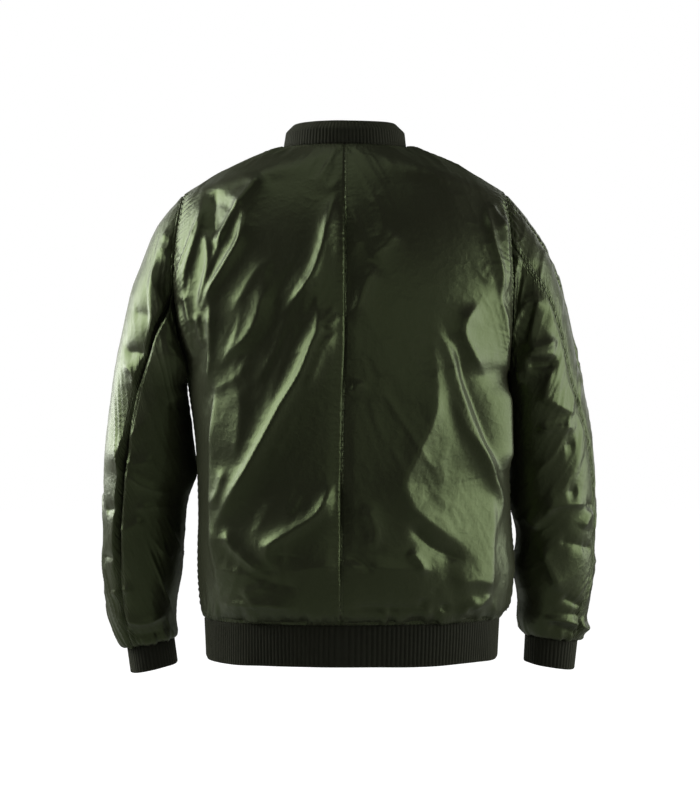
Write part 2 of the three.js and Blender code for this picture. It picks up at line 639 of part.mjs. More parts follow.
function cuffGeometry(side) {
  const rows = [CUFFS[side].top, CUFFS[side].bottom];
  const ringAt = (row, share, inset) => {
    const section = rows[row];
    const size = {
      ...section,
      outX: section.outX - inset,
      inX: section.inX + inset,
      deep: section.deep - inset,
    };
    return sleeveRing(side, size, share * 360);
  };
  return ribbedWall(ringAt, rows.length, CUFF_RIBS, true);
}

// The hem band, from one side of the zip round the back to the other side of the zip.
function hemBandGeometry() {
  const top = BODY_SECTIONS[0];
  const rows = [{ ...top, z: top.z - SEAM_GAP / 2 }, HEM_BAND];
  const ringAt = (row, share, inset) => {
    const section = rows[row];
    const side = share < 0.5 ? 'left' : 'right';
    const round = Math.abs(share - 0.5) * 2;
    const face = round > 0.5 ? 'front' : 'back';
    const part = face === 'front' ? 2 - 2 * round : 2 * round;
    const form = roundSection(part, 90, BODY_SQUARENESS);
    const endGap = face === 'front' ? middleShift(ZIP_HALF_WIDTH, part) : 0;
    const reach = section[side] - SIGN[side] * inset;
    const depth = section[face] - FACE_SIGN[face] * inset;
    return new THREE.Vector3(
      mix(section.middle, reach, form.out) + SIGN[side] * endGap,
      mix(SIDE_SEAM_Y, depth, form.deep),
      section.z,
    );
  };
  return ribbedWall(ringAt, rows.length, 2 * HEM_RIBS, false);
}

// The collar, from one side of the zip round the neck to the other, leaning in towards its top.
function collarGeometry() {
  const ringAt = (row, share, inset) => {
    const ring = COLLAR_RINGS[row];
    const side = share < 0.5 ? 'left' : 'right';
    const round = Math.abs(share - 0.5) * 2;
    const face = round > 0.5 ? 'front' : 'back';
    const part = face === 'front' ? 2 - 2 * round : 2 * round;
    const point = row === 0 ? neckEdge(side, face, part) : neckPoint(side, face, part);
    const back = (COLLAR_MIDDLE.y - point.y) / COLLAR_MIDDLE.deep;
    const inward = new THREE.Vector3(-point.x / NECK.halfWidth, back, 0).normalize();
    point.addScaledVector(inward, ring.inward + inset);
    point.z += ring.up;
    point.x += face === 'front' ? SIGN[side] * ZIP_HALF_WIDTH * (1 - part) : 0;
    return point;
  };
  return ribbedWall(ringAt, COLLAR_RINGS.length, 2 * COLLAR_RIBS, false);
}

// The line of the zip, from the bottom of the hem band up the middle of the front.
function zipLine(share) {
  const bandHeight = BODY_SECTIONS[0].z - HEM_BAND.z;
  const total = bandHeight + SHOULDER_ALONG;
  const place = share * total;
  if (place < bandHeight) {
    const part = place / bandHeight;
    return new THREE.Vector3(
      mix(HEM_BAND.middle, BODY_SECTIONS[0].middle, part),
      mix(HEM_BAND.front, BODY_SECTIONS[0].front, part),
      mix(HEM_BAND.z, BODY_SECTIONS[0].z, part),
    );
  }
  return bodyBase('left', 'front', 0, place - bandHeight);
}

function zipNormal(share) {
  const above = zipLine(Math.min(share + ZIP_SLOPE_STEP, 1));
  const up = above.sub(zipLine(Math.max(share - ZIP_SLOPE_STEP, 0)));
  return new THREE.Vector3(0, -up.z, up.y).normalize();
}

// A flat strip along the zip, between two distances aside and two heights above the cloth's face.
function stripGeometry(fromX, toX, columns, outside, inside, fromShare, toShare) {
  const outer = [];
  const inner = [];
  for (let row = 0; row <= TEETH.steps; row += 1) {
    const share = mix(fromShare, toShare, row / TEETH.steps);
    const normal = zipNormal(share);
    const outerRow = [];
    const innerRow = [];
    for (let column = 0; column <= columns; column += 1) {
      const point = zipLine(share);
      point.x += mix(fromX, toX, column / columns);
      outerRow.push(point.clone().addScaledVector(normal, outside));
      innerRow.push(point.addScaledVector(normal, inside));
    }
    outer.push(outerRow);
    inner.push(innerRow);
  }
  return wallGeometry(outer, inner, false);
}

const wasm = await Module();
wasm.setup();

function toSolid(geometry) {
  const plain = geometry.clone();
  plain.deleteAttribute('normal');
  plain.deleteAttribute('uv');
  const merged = mergeVertices(plain);
  return new wasm.Manifold(new wasm.Mesh({
    numProp: 3,
    vertProperties: new Float32Array(merged.attributes.position.array),
    triVerts: new Uint32Array(merged.index.array),
  }));
}

function fromSolid(solid) {
  const mesh = solid.getMesh();
  const geometry = new THREE.BufferGeometry();
  geometry.setAttribute('position', new THREE.BufferAttribute(mesh.vertProperties, 3));
  geometry.setIndex(new THREE.BufferAttribute(mesh.triVerts, 1));
  geometry.computeVertexNormals();
  return geometry;
}

// The slider and its tab are drawn flat: x across, y up the zip, z away from the cloth.
function sliderGeometry() {
  const half = SLIDER.width / 2;
  const outline = new THREE.Shape();
  const tail = half * SLIDER.tailShare;
  const shoulder = SLIDER.length * SLIDER.shoulderShare;
  outline.moveTo(-tail, 0);
  outline.lineTo(tail, 0);
  outline.lineTo(half, shoulder);
  outline.absarc(0, SLIDER.length - half, half, 0, Math.PI, false);
  outline.lineTo(-half, shoulder);
  const plate = new THREE.ExtrudeGeometry(outline, {
    depth: SLIDER.thick,
    bevelEnabled: false,
    curveSegments: CURVE_SEGMENTS,
  });
  plate.translate(0, 0, -SLIDER.sunk);
  let solid = toSolid(plate);
  const barY = SLIDER.length * SLIDER.barShare;
  const postTop = BAR.above + BAR.radius;
  for (const hand of [-1, 1]) {
    const post = new THREE.BoxGeometry(BAR.post, BAR.postLength, postTop - BAR.sunk);
    post.translate(hand * (BAR.gap + BAR.post) / 2, barY, (postTop + BAR.sunk) / 2);
    solid = solid.add(toSolid(post));
  }
  const bar = new THREE.CylinderGeometry(BAR.radius, BAR.radius, BAR.gap + BAR.post, BAR.sides);
  bar.rotateZ(Math.PI / 2);
  bar.translate(0, barY, BAR.above);
  return fromSolid(solid.add(toSolid(bar)));
}

function tabGeometry() {
  const outline = new THREE.Shape();
  outline.absarc(0, 0, TAB.eye / 2 + TAB.rim, Math.PI - TAB.rimTurn * DEGREE, TAB.rimTurn * DEGREE, true);
  outline.lineTo(TAB.neck / 2, -TAB.waist);
  outline.lineTo(TAB.width / 2, -TAB.shoulder);
  outline.absarc(0, -TAB.length + TAB.width / 2, TAB.width / 2, 0, -Math.PI, true);
  outline.lineTo(-TAB.width / 2, -TAB.shoulder);
  outline.lineTo(-TAB.neck / 2, -TAB.waist);
  const hole = new THREE.Path();
  hole.absarc(0, -TAB.length + TAB.holeUp, TAB.hole, 0, 2 * Math.PI, false);
  outline.holes.push(hole);
  const plate = new THREE.ExtrudeGeometry(outline, {
    depth: TAB.thick,
    bevelEnabled: false,
    curveSegments: CURVE_SEGMENTS,
  });
  plate.translate(0, 0, -TAB.thick / 2);
  const eye = new THREE.CylinderGeometry(TAB.eye, TAB.eye, TAB.neck, TAB.sides);
  eye.rotateZ(Math.PI / 2);
  const bore = new THREE.CylinderGeometry(TAB.bore, TAB.bore, TAB.width, TAB.sides);
  bore.rotateZ(Math.PI / 2);
  return fromSolid(toSolid(plate).add(toSolid(eye)).subtract(toSolid(bore)));
}

const materials = {
  nylon: new THREE.MeshStandardMaterial({ color: 0x3a4030, roughness: 0.38, metalness: 0 }),
  rib: new THREE.MeshStandardMaterial({ color: 0x24271c, roughness: 0.9, metalness: 0 }),
  tape: new THREE.MeshStandardMaterial({ color: 0x2a2d20, roughness: 0.85, metalness: 0 }),
  metal: new THREE.MeshStandardMaterial({ color: 0x6f6a5c, roughness: 0.35, metalness: 0.9 }),
};

const jacket = new THREE.Group();

function addPiece(name, geometry, material) {
  const mesh = new THREE.Mesh(geometry, material.clone());
  mesh.name = name;
  jacket.add(mesh);
  return mesh;
}

for (const side of ['left', 'right']) {
  addPiece(`back_${side}`, bodyPanel(side, 'back'), materials.nylon);
  addPiece(`front_${side}`, bodyPanel(side, 'front'), materials.nylon);
  for (const panel of Object.keys(SLEEVE_PANELS)) {
    addPiece(`sleeve_${side}_${panel}`, sleevePanel(side, panel), materials.nylon);
  }
  addPiece(`cuff_${side}`, cuffGeometry(side), materials.rib);
  const edge = SIGN[side] * TAPE.width;
  const start = SIGN[side] * SEAM_GAP;
  const under = -(CLOTH + TAPE.under);
  const tape = stripGeometry(start, edge, 1, under, under - TAPE.thick, TAPE.startShare, ZIP_TOP);
  addPiece(`zip_tape_${side}`, tape, materials.tape);
}
addPiece('collar', collarGeometry(), materials.rib);
addPiece('hem_band', hemBandGeometry(), materials.rib);

// The slider sits at the top of the row of teeth, with the tab hanging over it.
const zipLength = BODY_SECTIONS[0].z - HEM_BAND.z + SHOULDER_ALONG;
const sliderShare = ZIP_TOP - SLIDER.below / zipLength;
const teethTop = sliderShare - SEAM_GAP / zipLength;
const teeth = stripGeometry(-TEETH.halfWidth, TEETH.halfWidth, 1, TEETH.proud,
  -(CLOTH + TAPE.under - SEAM_GAP), 0, teethTop);
addPiece('zip_teeth', teeth, materials.metal);

const sliderPlace = zipLine(sliderShare);
const sliderNormal = zipNormal(sliderShare);
const sliderLean = Math.atan2(-sliderNormal.y, sliderNormal.z);
const slider = addPiece('zip_slider', sliderGeometry(), materials.metal);
const tab = addPiece('zip_pull_tab', tabGeometry(), materials.metal);
for (const piece of [slider, tab]) {
  piece.position.copy(sliderPlace);
  piece.rotation.x = sliderLean;
}
const barPlace = new THREE.Vector3(0, SLIDER.length * SLIDER.barShare, BAR.above).applyEuler(slider.rotation);
tab.position.add(barPlace);

export default jacket;
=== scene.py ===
import logging
import math
from collections.abc import Callable
from dataclasses import dataclass, field
from enum import Enum

import bmesh
import bpy
import numpy as np
from mathutils import Matrix, Vector


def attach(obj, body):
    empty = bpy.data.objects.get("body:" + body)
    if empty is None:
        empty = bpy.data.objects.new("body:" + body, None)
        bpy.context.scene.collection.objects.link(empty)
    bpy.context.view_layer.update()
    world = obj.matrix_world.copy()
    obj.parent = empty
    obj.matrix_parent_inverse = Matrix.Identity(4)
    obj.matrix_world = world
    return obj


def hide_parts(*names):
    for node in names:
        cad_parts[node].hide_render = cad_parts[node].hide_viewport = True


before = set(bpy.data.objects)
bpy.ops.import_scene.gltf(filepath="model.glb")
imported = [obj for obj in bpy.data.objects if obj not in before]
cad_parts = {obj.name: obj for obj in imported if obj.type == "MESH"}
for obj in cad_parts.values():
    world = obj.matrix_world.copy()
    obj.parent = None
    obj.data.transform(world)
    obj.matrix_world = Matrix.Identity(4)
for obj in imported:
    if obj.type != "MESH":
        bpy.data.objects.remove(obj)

log = logging.getLogger("bomber_jacket")
MM = 0.001
COLOUR, VALUE, VECTOR = "NodeSocketColor", "NodeSocketFloat", "NodeSocketVector"

Numbers = float | np.ndarray
Colour = tuple[float, float, float, float]
Path = tuple[tuple[float, float], ...]
Socket = bpy.types.NodeSocket
Inputs = dict[int | str, object]
Words = tuple[str, ...]
Groups = dict[str, bpy.types.NodeTree]


class Named(Enum):
    """An option whose name goes into the names of pieces."""

    @property
    def word(self) -> str:
        """Its name in small letters."""
        return self.name.lower()


class Side(Named):
    """The wearer's left and right, as the sign of X."""

    LEFT = 1
    RIGHT = -1


class Face(Named):
    """The back and the front, as the sign of Y."""

    BACK = 1
    FRONT = -1


class Panel(Named):
    """The three panels of a sleeve, each with its start and end seam."""

    OUTER = ("outer", "back")
    BACK = ("back", "under")
    FRONT = ("under", "outer")


class Edge(Enum):
    """An edge of a panel's grid."""

    START = "first column"
    END = "last column"
    LOW = "first row"
    HIGH = "last row"


Line = Callable[[Side, Face, np.ndarray], np.ndarray]


@dataclass(frozen=True)
class BodySection:
    """A section of the body below the armholes, in millimetres."""

    along: float
    z: float
    middle: float
    left: float
    right: float
    back: float
    front: float


@dataclass(frozen=True)
class YokeSection:
    """A section of the body beside the armholes: turn and bow in degrees, the rest in millimetres."""

    along: float
    turn: float
    bow: float
    back_z: float
    back: float
    front_z: float
    front: float


@dataclass(frozen=True)
class Armhole:
    """An armhole seam: its shoulder and underarm ends and its reach back and forward, in millimetres."""

    top_x: float
    top_z: float
    low_x: float
    low_z: float
    top_y: float
    low_y: float
    back: float
    front: float
    back_bow: float


@dataclass(frozen=True)
class SleeveSection:
    """A ring of a sleeve: its outer and inner sides, middle and half depth, and its seams in degrees."""

    out_x: float
    out_z: float
    in_x: float
    in_z: float
    y: float
    deep: float
    back: float = 0.0
    outer: float = 0.0


@dataclass(frozen=True)
class Crease:
    """A ridge, or a trough below zero, along a path seen from behind, in millimetres.

    right and left are its half widths on the right and left hand of someone who walks the path
    as drawn on the page.
    """

    high: float
    right: float
    left: float
    path: Path


BODY_SECTIONS = (
    BodySection(0, -604, 5, 181, -199, 126, -125),
    BodySection(25, -585, 5, 186, -212, 141, -139),
    BodySection(72, -540, 5, 190, -217, 151, -146),
    BodySection(152, -460, 5, 189, -212, 150, -147),
    BodySection(236, -375, 4, 193, -212, 151, -150),
    BodySection(310, -300, 2, 203, -209, 153, -152),
)
HEM_BOTTOM = BodySection(-50, -655, 5, 180, -197, 124, -123)
ZIP_HALF_WIDTH = 4.2
YOKE_SECTIONS = (
    YokeSection(362, 152, 82, -252, 154, -262, -153),
    YokeSection(416, 122, 74, -198, 152, -224, -149),
    YokeSection(470, 94, 66, -144, 144, -187, -139),
    YokeSection(522, 66, 60, -94, 128, -152, -125),
    YokeSection(570, 40, 54, -50, 106, -121, -108),
    YokeSection(608, 18, 48, -20, 86, -98, -94),
)
ARMHOLES = {
    Side.LEFT: Armhole(209, -60, 203, -300, 5, 12, 68, -60, 11),
    Side.RIGHT: Armhole(208, -58, 209, -300, 5, 12, 68, -60, 5),
}
SLEEVE_SECTIONS = {
    Side.LEFT: (
        SleeveSection(238, -94, 207, -309, 4, 71, 92, -6),
        SleeveSection(262, -146, 206, -322, 0, 75, 89, -6),
        SleeveSection(281, -208, 203, -342, -7, 76, 84, -6),
        SleeveSection(297, -272, 200, -366, -14, 75, 76, -5),
        SleeveSection(308, -335, 197, -392, -22, 73, 70, -4),
        SleeveSection(314, -395, 194, -420, -27, 69, 66, -2),
        SleeveSection(316, -455, 207, -456, -32, 65, 65, 0),
        SleeveSection(317, -505, 212, -502, -38, 62, 63, 0),
        SleeveSection(318, -555, 217, -548, -46, 60, 64, 0),
        SleeveSection(315, -595, 223, -588, -53, 56, 66, 0),
        SleeveSection(309, -625, 225, -616, -58, 51, 68, 0),
        SleeveSection(303, -644, 224, -633, -60, 47, 68, 0),
        SleeveSection(297, -652, 226, -640, -61, 42, 68, 0),
    ),
    Side.RIGHT: (
        SleeveSection(240, -97, 212, -309, 4, 71, 66, 22),
        SleeveSection(268, -146, 212, -322, 0, 75, 60, 22),
        SleeveSection(289, -208, 213, -342, -7, 76, 56, 21),
        SleeveSection(303, -275, 214, -366, -14, 75, 53, 18),
        SleeveSection(316, -332, 214, -392, -22, 73, 46, 13),
        SleeveSection(325, -392, 216, -420, -27, 69, 34, 7),
        SleeveSection(328, -455, 216, -456, -32, 65, 26, 2),
        SleeveSection(329, -505, 226, -502, -38, 62, 24, 0),
        SleeveSection(328, -555, 222, -545, -46, 60, 30, 0),
        SleeveSection(324, -590, 229, -585, -52, 57, 42, 0),
        SleeveSection(320, -615, 229, -608, -56, 53, 48, 0),
        SleeveSection(318, -634, 232, -625, -58, 47, 50, 0),
        SleeveSection(314, -642, 237, -634, -59, 42, 50, 0),
    ),
}
CUFF_SECTIONS = {
    Side.LEFT: (
        SleeveSection(290, -653.2, 228, -641.2, -61, 35),
        SleeveSection(285.5, -688, 223.5, -675, -66, 34),
    ),
    Side.RIGHT: (
        SleeveSection(309, -643.2, 240, -635.2, -59, 35),
        SleeveSection(306, -683, 239, -673, -65, 34),
    ),
}
PANEL_GIRTH = {Panel.OUTER: 95, Panel.BACK: 150, Panel.FRONT: 240}
PANEL_FACING = {Panel.OUTER: (1.0, 0.6, 0.0), Panel.BACK: (0.0, 1.0, 0.0), Panel.FRONT: (0.0, -1.0, 0.0)}
BODY_CREASES = (
    Crease(7.0, 7, 16, ((10, -52), (20, -84), (30, -130), (46, -169), (81, -214))),
    Crease(9.0, 10, 12, (
        (36, -172), (34, -228), (43, -254), (58, -292), (77, -325),
        (84, -338), (108, -387), (130, -429), (147, -462), (168, -511))),
    Crease(2.8, 9, 14, ((95, -136), (117, -162), (136, -195), (146, -216))),
    Crease(5.5, 17, 9, ((100, -165), (108, -202), (124, -240), (160, -276))),
    Crease(6.0, 5, 10, (
        (121, -69), (129, -84), (136, -117), (152, -146),
        (169, -176), (182, -205), (191, -214))),
    Crease(7.0, 13, 9, ((108, -29), (118, -49), (133, -69), (144, -83))),
    Crease(3.8, 10, 4, ((185, -52), (188, -98), (202, -146), (212, -195))),
    Crease(2.6, 3, 4, ((181, -98), (177, -146), (183, -182), (191, -211))),
    Crease(4.8, 6, 9, ((173, -186), (172, -260), (173, -286), (182, -325))),
    Crease(2.2, 14, 14, ((124, -266), (136, -292), (156, -306), (169, -318))),
    Crease(2.5, 6, 6, ((6, -214), (26, -234))),
    Crease(3.5, 8, 9, ((6, -234), (26, -254), (39, -286), (52, -318))),
    Crease(2.5, 3, 5, ((217, -198), (204, -240), (195, -273))),
    Crease(2.5, 4, 4, ((208, -182), (195, -234))),
    Crease(2.5, 4, 4, ((191, -208), (182, -260))),
    Crease(3.4, 18, 12, ((139, -296), (133, -332), (134, -370), (142, -410))),
    Crease(2.5, 4, 5, ((150, -410), (156, -442), (165, -468))),
    Crease(4.0, 6, 6, ((146, -484), (147, -494), (142, -514), (124, -533), (100, -556))),
    Crease(7.0, 10, 10, (
        (9, -422), (17, -436), (32, -468), (52, -485), (91, -510),
        (98, -520), (98, -530), (90, -542), (91, -550))),
    Crease(3.0, 14, 14, ((78, -549), (6, -540), (-117, -549))),
    Crease(-1.8, 10, 10, ((136, -581), (108, -564), (58, -569))),
    Crease(3.0, 9, 12, ((103, -556), (110, -567), (130, -575), (135, -580))),
    Crease(4.0, 8, 10, ((165, -590), (110, -590), (56, -595))),
    Crease(3.0, 12, 12, ((-69, -104), (-52, -124), (-32, -143))),
    Crease(3.5, 10, 12, ((-39, -146), (-26, -176), (-17, -202), (0, -218))),
    Crease(2.5, 7, 7, ((-22, -299), (-6, -318))),
    Crease(3.5, 3, 3, ((-182, -69), (-185, -98), (-190, -124), (-196, -150), (-200, -176), (-202, -195))),
    Crease(3.0, 5, 5, ((-185, -65), (-198, -91), (-205, -110))),
    Crease(4.0, 9, 6, ((-202, -190), (-208, -234), (-205, -273), (-203, -306))),
    Crease(6.0, 8, 16, ((-176, -195), (-152, -228), (-162, -260), (-182, -296))),
    Crease(-7.0, 4, 16, (
        (-133, -240), (-146, -263), (-157, -306),
        (-173, -351), (-188, -393), (-202, -422))),
    Crease(11.5, 42, 34, (
        (-118, -235), (-113, -254), (-114, -325), (-104, -364), (-87, -403), (-75, -432),
        (-82, -455), (-91, -471), (-124, -497), (-156, -517), (-168, -529))),
    Crease(6.0, 8, 8, (
        (-124, -240), (-136, -273), (-143, -312), (-156, -351),
        (-173, -390), (-188, -429), (-199, -462), (-188, -507))),
    Crease(2.5, 3.5, 3.5, ((-133, -312), (-150, -358), (-173, -396), (-198, -451))),
    Crease(-6.0, 10, 10, ((-78, -481), (-110, -514), (-156, -536))),
    Crease(4.0, 6, 6, ((-78, -520), (-91, -529), (-99, -542), (-100, -555))),
    Crease(4.0, 9, 9, ((-26, -455), (-35, -481), (-39, -500), (-32, -526))),
    Crease(-3.0, 6, 6, ((0, -523), (-39, -549))),
    Crease(4.0, 18, 18, ((-136, -564), (-169, -559), (-199, -569))),
    Crease(3.0, 4, 5, ((-173, -581), (-156, -594), (-150, -607))),
    Crease(3.0, 4, 5, ((-188, -576), (-162, -598))),
    Crease(-2.5, 4, 4, ((-131, -588), (-126, -601))),
    Crease(-2.5, 4, 4, ((-103, -582), (-98, -598))),
    Crease(-3.0, 8, 8, ((0, -597), (-104, -597))),
    Crease(4.5, 5, 6, ((131, -64), (147, -87), (160, -110), (169, -129))),
    Crease(-4.0, 8, 9, ((168, -49), (172, -84), (169, -120))),
    Crease(10.0, 24, 7, ((-198, -289), (-202, -325), (-204, -364), (-205, -396), (-203, -429))),
    Crease(6.0, 20, 5, ((-204, -78), (-205, -124), (-207, -162), (-205, -195))),
    Crease(2.6, 12, 14, ((168, -541), (142, -549), (108, -556))),
    Crease(8.0, 5, 30, ((164, -292), (166, -364), (166, -455), (164, -533), (160, -585))),
    Crease(3.4, 26, 6, ((-187, -436), (-188, -481), (-187, -533), (-183, -585))),
)
SLEEVE_CREASES = {
    Side.LEFT: (
        Crease(2.0, 3, 3, ((238, -110), (229, -113), (220, -112))),
        Crease(2.0, 3, 3, ((243, -130), (230, -130), (217, -126))),
        Crease(8.0, 40, 13, ((252, -138), (244, -176), (233, -221), (222, -263), (209, -306))),
        Crease(2.5, 3, 4, ((220, -195), (214, -228), (198, -266))),
        Crease(6.0, 10, 6, ((237, -240), (225, -270), (217, -292), (209, -309), (234, -332))),
        Crease(-3.4, 7.5, 7.5, ((286, -266), (273, -263), (254, -266))),
        Crease(-1.7, 7.5, 7.5, ((272, -212), (247, -216))),
        Crease(2.5, 5, 5, ((286, -274), (273, -292), (272, -315))),
        Crease(6.5, 14, 9, (
            (254, -344), (282, -377), (291, -396), (286, -422),
            (291, -455), (295, -514), (303, -559), (308, -575))),
        Crease(2.0, 8, 8, ((294, -400), (273, -407), (243, -400))),
        Crease(2.6, 8, 7, ((286, -416), (266, -433), (247, -441), (220, -447))),
        Crease(2.0, 8, 8, ((276, -471), (254, -463), (221, -465))),
        Crease(2.4, 7, 7, ((294, -497), (277, -489), (260, -478))),
        Crease(-2.5, 6, 6, ((309, -468), (292, -465))),
        Crease(-2.1, 6, 6, ((312, -526), (295, -530))),
        Crease(3.0, 5, 6, ((306, -578), (273, -569))),
        Crease(4.0, 6, 6, ((303, -601), (266, -614), (230, -601))),
        Crease(-3.0, 7.5, 7.5, ((295, -624), (266, -632), (233, -624))),
    ),
    Side.RIGHT: (
        Crease(4.0, 4, 5, ((-225, -131), (-217, -150), (-212, -182), (-207, -205))),
        Crease(-6.0, 10.5, 13.5, ((-233, -138), (-228, -182), (-208, -247))),
        Crease(4.0, 4, 5, ((-247, -195), (-234, -202), (-212, -240))),
        Crease(-5.1, 10.5, 10.5, ((-247, -199), (-240, -228), (-233, -257))),
        Crease(4.0, 4, 9, ((-251, -182), (-248, -208), (-235, -260))),
        Crease(5.0, 6, 10, ((-235, -260), (-254, -256), (-276, -247))),
        Crease(4.0, 4, 8, ((-228, -266), (-277, -266))),
        Crease(-4.2, 7.5, 7.5, ((-234, -280), (-277, -278))),
        Crease(2.5, 4, 4, ((-224, -283), (-229, -307))),
        Crease(5.0, 6, 12, ((-277, -276), (-266, -292), (-260, -318), (-264, -325), (-303, -346))),
        Crease(4.0, 7, 7, ((-247, -364), (-273, -361), (-303, -358))),
        Crease(-2.5, 6, 6, ((-286, -384), (-299, -384))),
        Crease(-2.5, 6, 6, ((-289, -445), (-302, -445))),
        Crease(-2.5, 6, 6, ((-313, -462), (-325, -462))),
        Crease(-2.5, 6, 6, ((-309, -517), (-321, -517))),
        Crease(4.0, 5, 8, ((-260, -481), (-273, -462), (-318, -459))),
        Crease(3.0, 5, 5, ((-233, -474), (-255, -491))),
        Crease(-2.5, 6, 7.5, ((-276, -507), (-316, -517))),
        Crease(3.0, 4, 4, ((-321, -465), (-308, -494))),
        Crease(5.0, 8, 12, ((-254, -514), (-282, -578))),
        Crease(5.0, 5, 7, ((-255, -608), (-280, -610), (-299, -615), (-318, -627), (-316, -637))),
        Crease(-3.4, 6, 6, ((-260, -618), (-299, -627), (-306, -633))),
        Crease(-3.4, 6, 6, ((-280, -581), (-312, -595))),
        Crease(-3.4, 6, 6, ((-256, -601), (-316, -607))),
    ),
}


def smooth_step(low: float, high: float, value: np.ndarray) -> np.ndarray:
    """Eases from 0 at low to 1 at high.

    Args:
        low: Value where the result is 0.
        high: Value where the result is 1.
        value: Values to ease.

    Returns:
        The eased values.
    """
    share = np.clip((value - low) / (high - low), 0.0, 1.0)
    return share * share * (3 - 2 * share)


def mix(start: Numbers, end: Numbers, share: Numbers) -> Numbers:
    """Goes from start to end by a share."""
    return start + (end - start) * share


def unit(vectors: np.ndarray) -> np.ndarray:
    """Scales vectors to length one."""
    return vectors / np.maximum(np.linalg.norm(vectors, axis=-1, keepdims=True), 1e-9)


def cubic(
    start: np.ndarray, leaving: np.ndarray, end: np.ndarray, reaching: np.ndarray, share: np.ndarray
) -> np.ndarray:
    """Runs a cubic curve between points.

    Args:
        start: Points where it starts.
        leaving: Its slopes there.
        end: Points where it ends.
        reaching: Its slopes there.
        share: Where it is read, 0 at the start and 1 at the end.

    Returns:
        The points read.
    """
    square, cube = share**2, share**3
    return (
        start * (2 * cube - 3 * square + 1)
        + leaving * (cube - 2 * square + share)
        + end * (3 * square - 2 * cube)
        + reaching * (cube - square)
    )


def curve_through(stations: np.ndarray, points: np.ndarray, places: np.ndarray) -> np.ndarray:
    """Runs a smooth curve through points at uneven stations.

    Args:
        stations: Place of each point, rising.
        points: The points, one row of them for each station.
        places: Where the curve is read, one place for each row of the result.

    Returns:
        One row of points for each place.
    """
    last = len(stations) - 1
    k = np.clip(np.searchsorted(stations, places, side="left") - 1, 0, last - 1)
    shape = (-1,) + (1,) * (points.ndim - 1)
    span = (stations[k + 1] - stations[k]).reshape(shape)
    share = np.clip((places - stations[k]).reshape(shape) / span, 0, 1)
    before = np.maximum(np.arange(last + 1) - 1, 0)
    after = np.minimum(np.arange(last + 1) + 1, last)
    slopes = (points[after] - points[before]) / (stations[after] - stations[before]).reshape(shape)
    return cubic(points[k], slopes[k] * span, points[k + 1], slopes[k + 1] * span, share)


def lattice_noise(x: np.ndarray, y: np.ndarray, seed: int) -> np.ndarray:
    """Smooth seeded noise from -1 to 1 over a plane.

    Args:
        x: First coordinate, one unit to a cell.
        y: Second coordinate, one unit to a cell.
        seed: Picks the pattern.

    Returns:
        Noise at each place.
    """
    cells = np.random.default_rng(seed).uniform(-1, 1, (64, 64))
    column, row = np.floor(x).astype(int), np.floor(y).astype(int)
    across, up = x - column, y - row
    across = across**3 * (across * (across * 6 - 15) + 10)
    up = up**3 * (up * (up * 6 - 15) + 10)
    near = mix(cells[row % 64, column % 64], cells[row % 64, (column + 1) % 64], across)
    far = mix(cells[(row + 1) % 64, column % 64], cells[(row + 1) % 64, (column + 1) % 64], across)
    return mix(near, far, up)


def ridge_noise(x: np.ndarray, y: np.ndarray, seed: int) -> np.ndarray:
    """Noise with soft troughs and narrow crests, from 0 to 1, as creased cloth has."""
    return (1 - np.abs(lattice_noise(x, y, seed))) ** 3


@dataclass(frozen=True)
class Seam:
    """How cloth puckers and dips beside a seam: height, spacing and fade of the puckers, in millimetres."""

    high: float
    pitch: float
    fade: float
    dip: float = 1.5
    roll: float = 2.2

    def rise(self, gap: np.ndarray, run: np.ndarray, seed: int) -> np.ndarray:
        """Heights beside the seam.

        Args:
            gap: Distance from it, in millimetres.
            run: Distance along it, in millimetres.
            seed: Picks the uneven spacing.

        Returns:
            Heights in millimetres.
        """
        uneven = run / self.pitch + 0.9 * lattice_noise(run / (3 * self.pitch), gap / 40, seed)
        strength = 0.55 + 0.45 * lattice_noise(run / (5 * self.pitch), gap * 0 + 3.3, seed + 1)
        fall = np.exp(-gap / self.fade) * smooth_step(0, 3, gap)
        puckers = self.high * strength * np.sin(2 * math.pi * uneven) * fall
        return puckers - self.dip * np.exp(-gap / self.roll)


@dataclass(frozen=True)
class Gather:
    """Gathers where cloth meets a rib band: fine and broad folds that fade from it, in millimetres."""

    high: float
    fine: float
    broad: float
    broad_share: float
    broad_long: float
    fade: float
    start: float

    def rise(self, run: np.ndarray, up: np.ndarray, gap: np.ndarray, seed: int) -> np.ndarray:
        """Heights beside the band.

        Args:
            run: Distance along the band's seam, in millimetres.
            up: Distance up the piece.
            gap: Distance from the band's seam.
            seed: Picks the folds.

        Returns:
            Heights in millimetres.
        """
        fine = lattice_noise(run / self.fine, up * 0 + 0.5, seed)
        broad = self.broad_share * lattice_noise(run / self.broad, up / self.broad_long, seed + 1)
        fall = np.exp(-((gap / self.fade) ** 2)) * smooth_step(0, self.start, gap)
        return self.high * (fine + broad) * fall


ARMHOLE_SEAM = Seam(2.2, 8.5, 12)
NECK_SEAM = Seam(0.8, 6.0, 7)
HEM_SEAM = Seam(1.1, 6.5, 12)
CENTRE_SEAM = Seam(0.6, 8.5, 6, dip=0.35, roll=1.6)
ZIP_SEAM = Seam(0.35, 6.0, 9, dip=0.0)
SLEEVE_HEAD = Seam(2.2, 9.5, 13)
SLEEVE_SEAM = Seam(0.7, 9.0, 8, dip=1.0)
HEM_GATHER = Gather(4.0, 9, 21, 0.6, 50, fade=27, start=5)
CUFF_GATHER = Gather(2.0, 8, 19, 0.7, 40, fade=26, start=8)


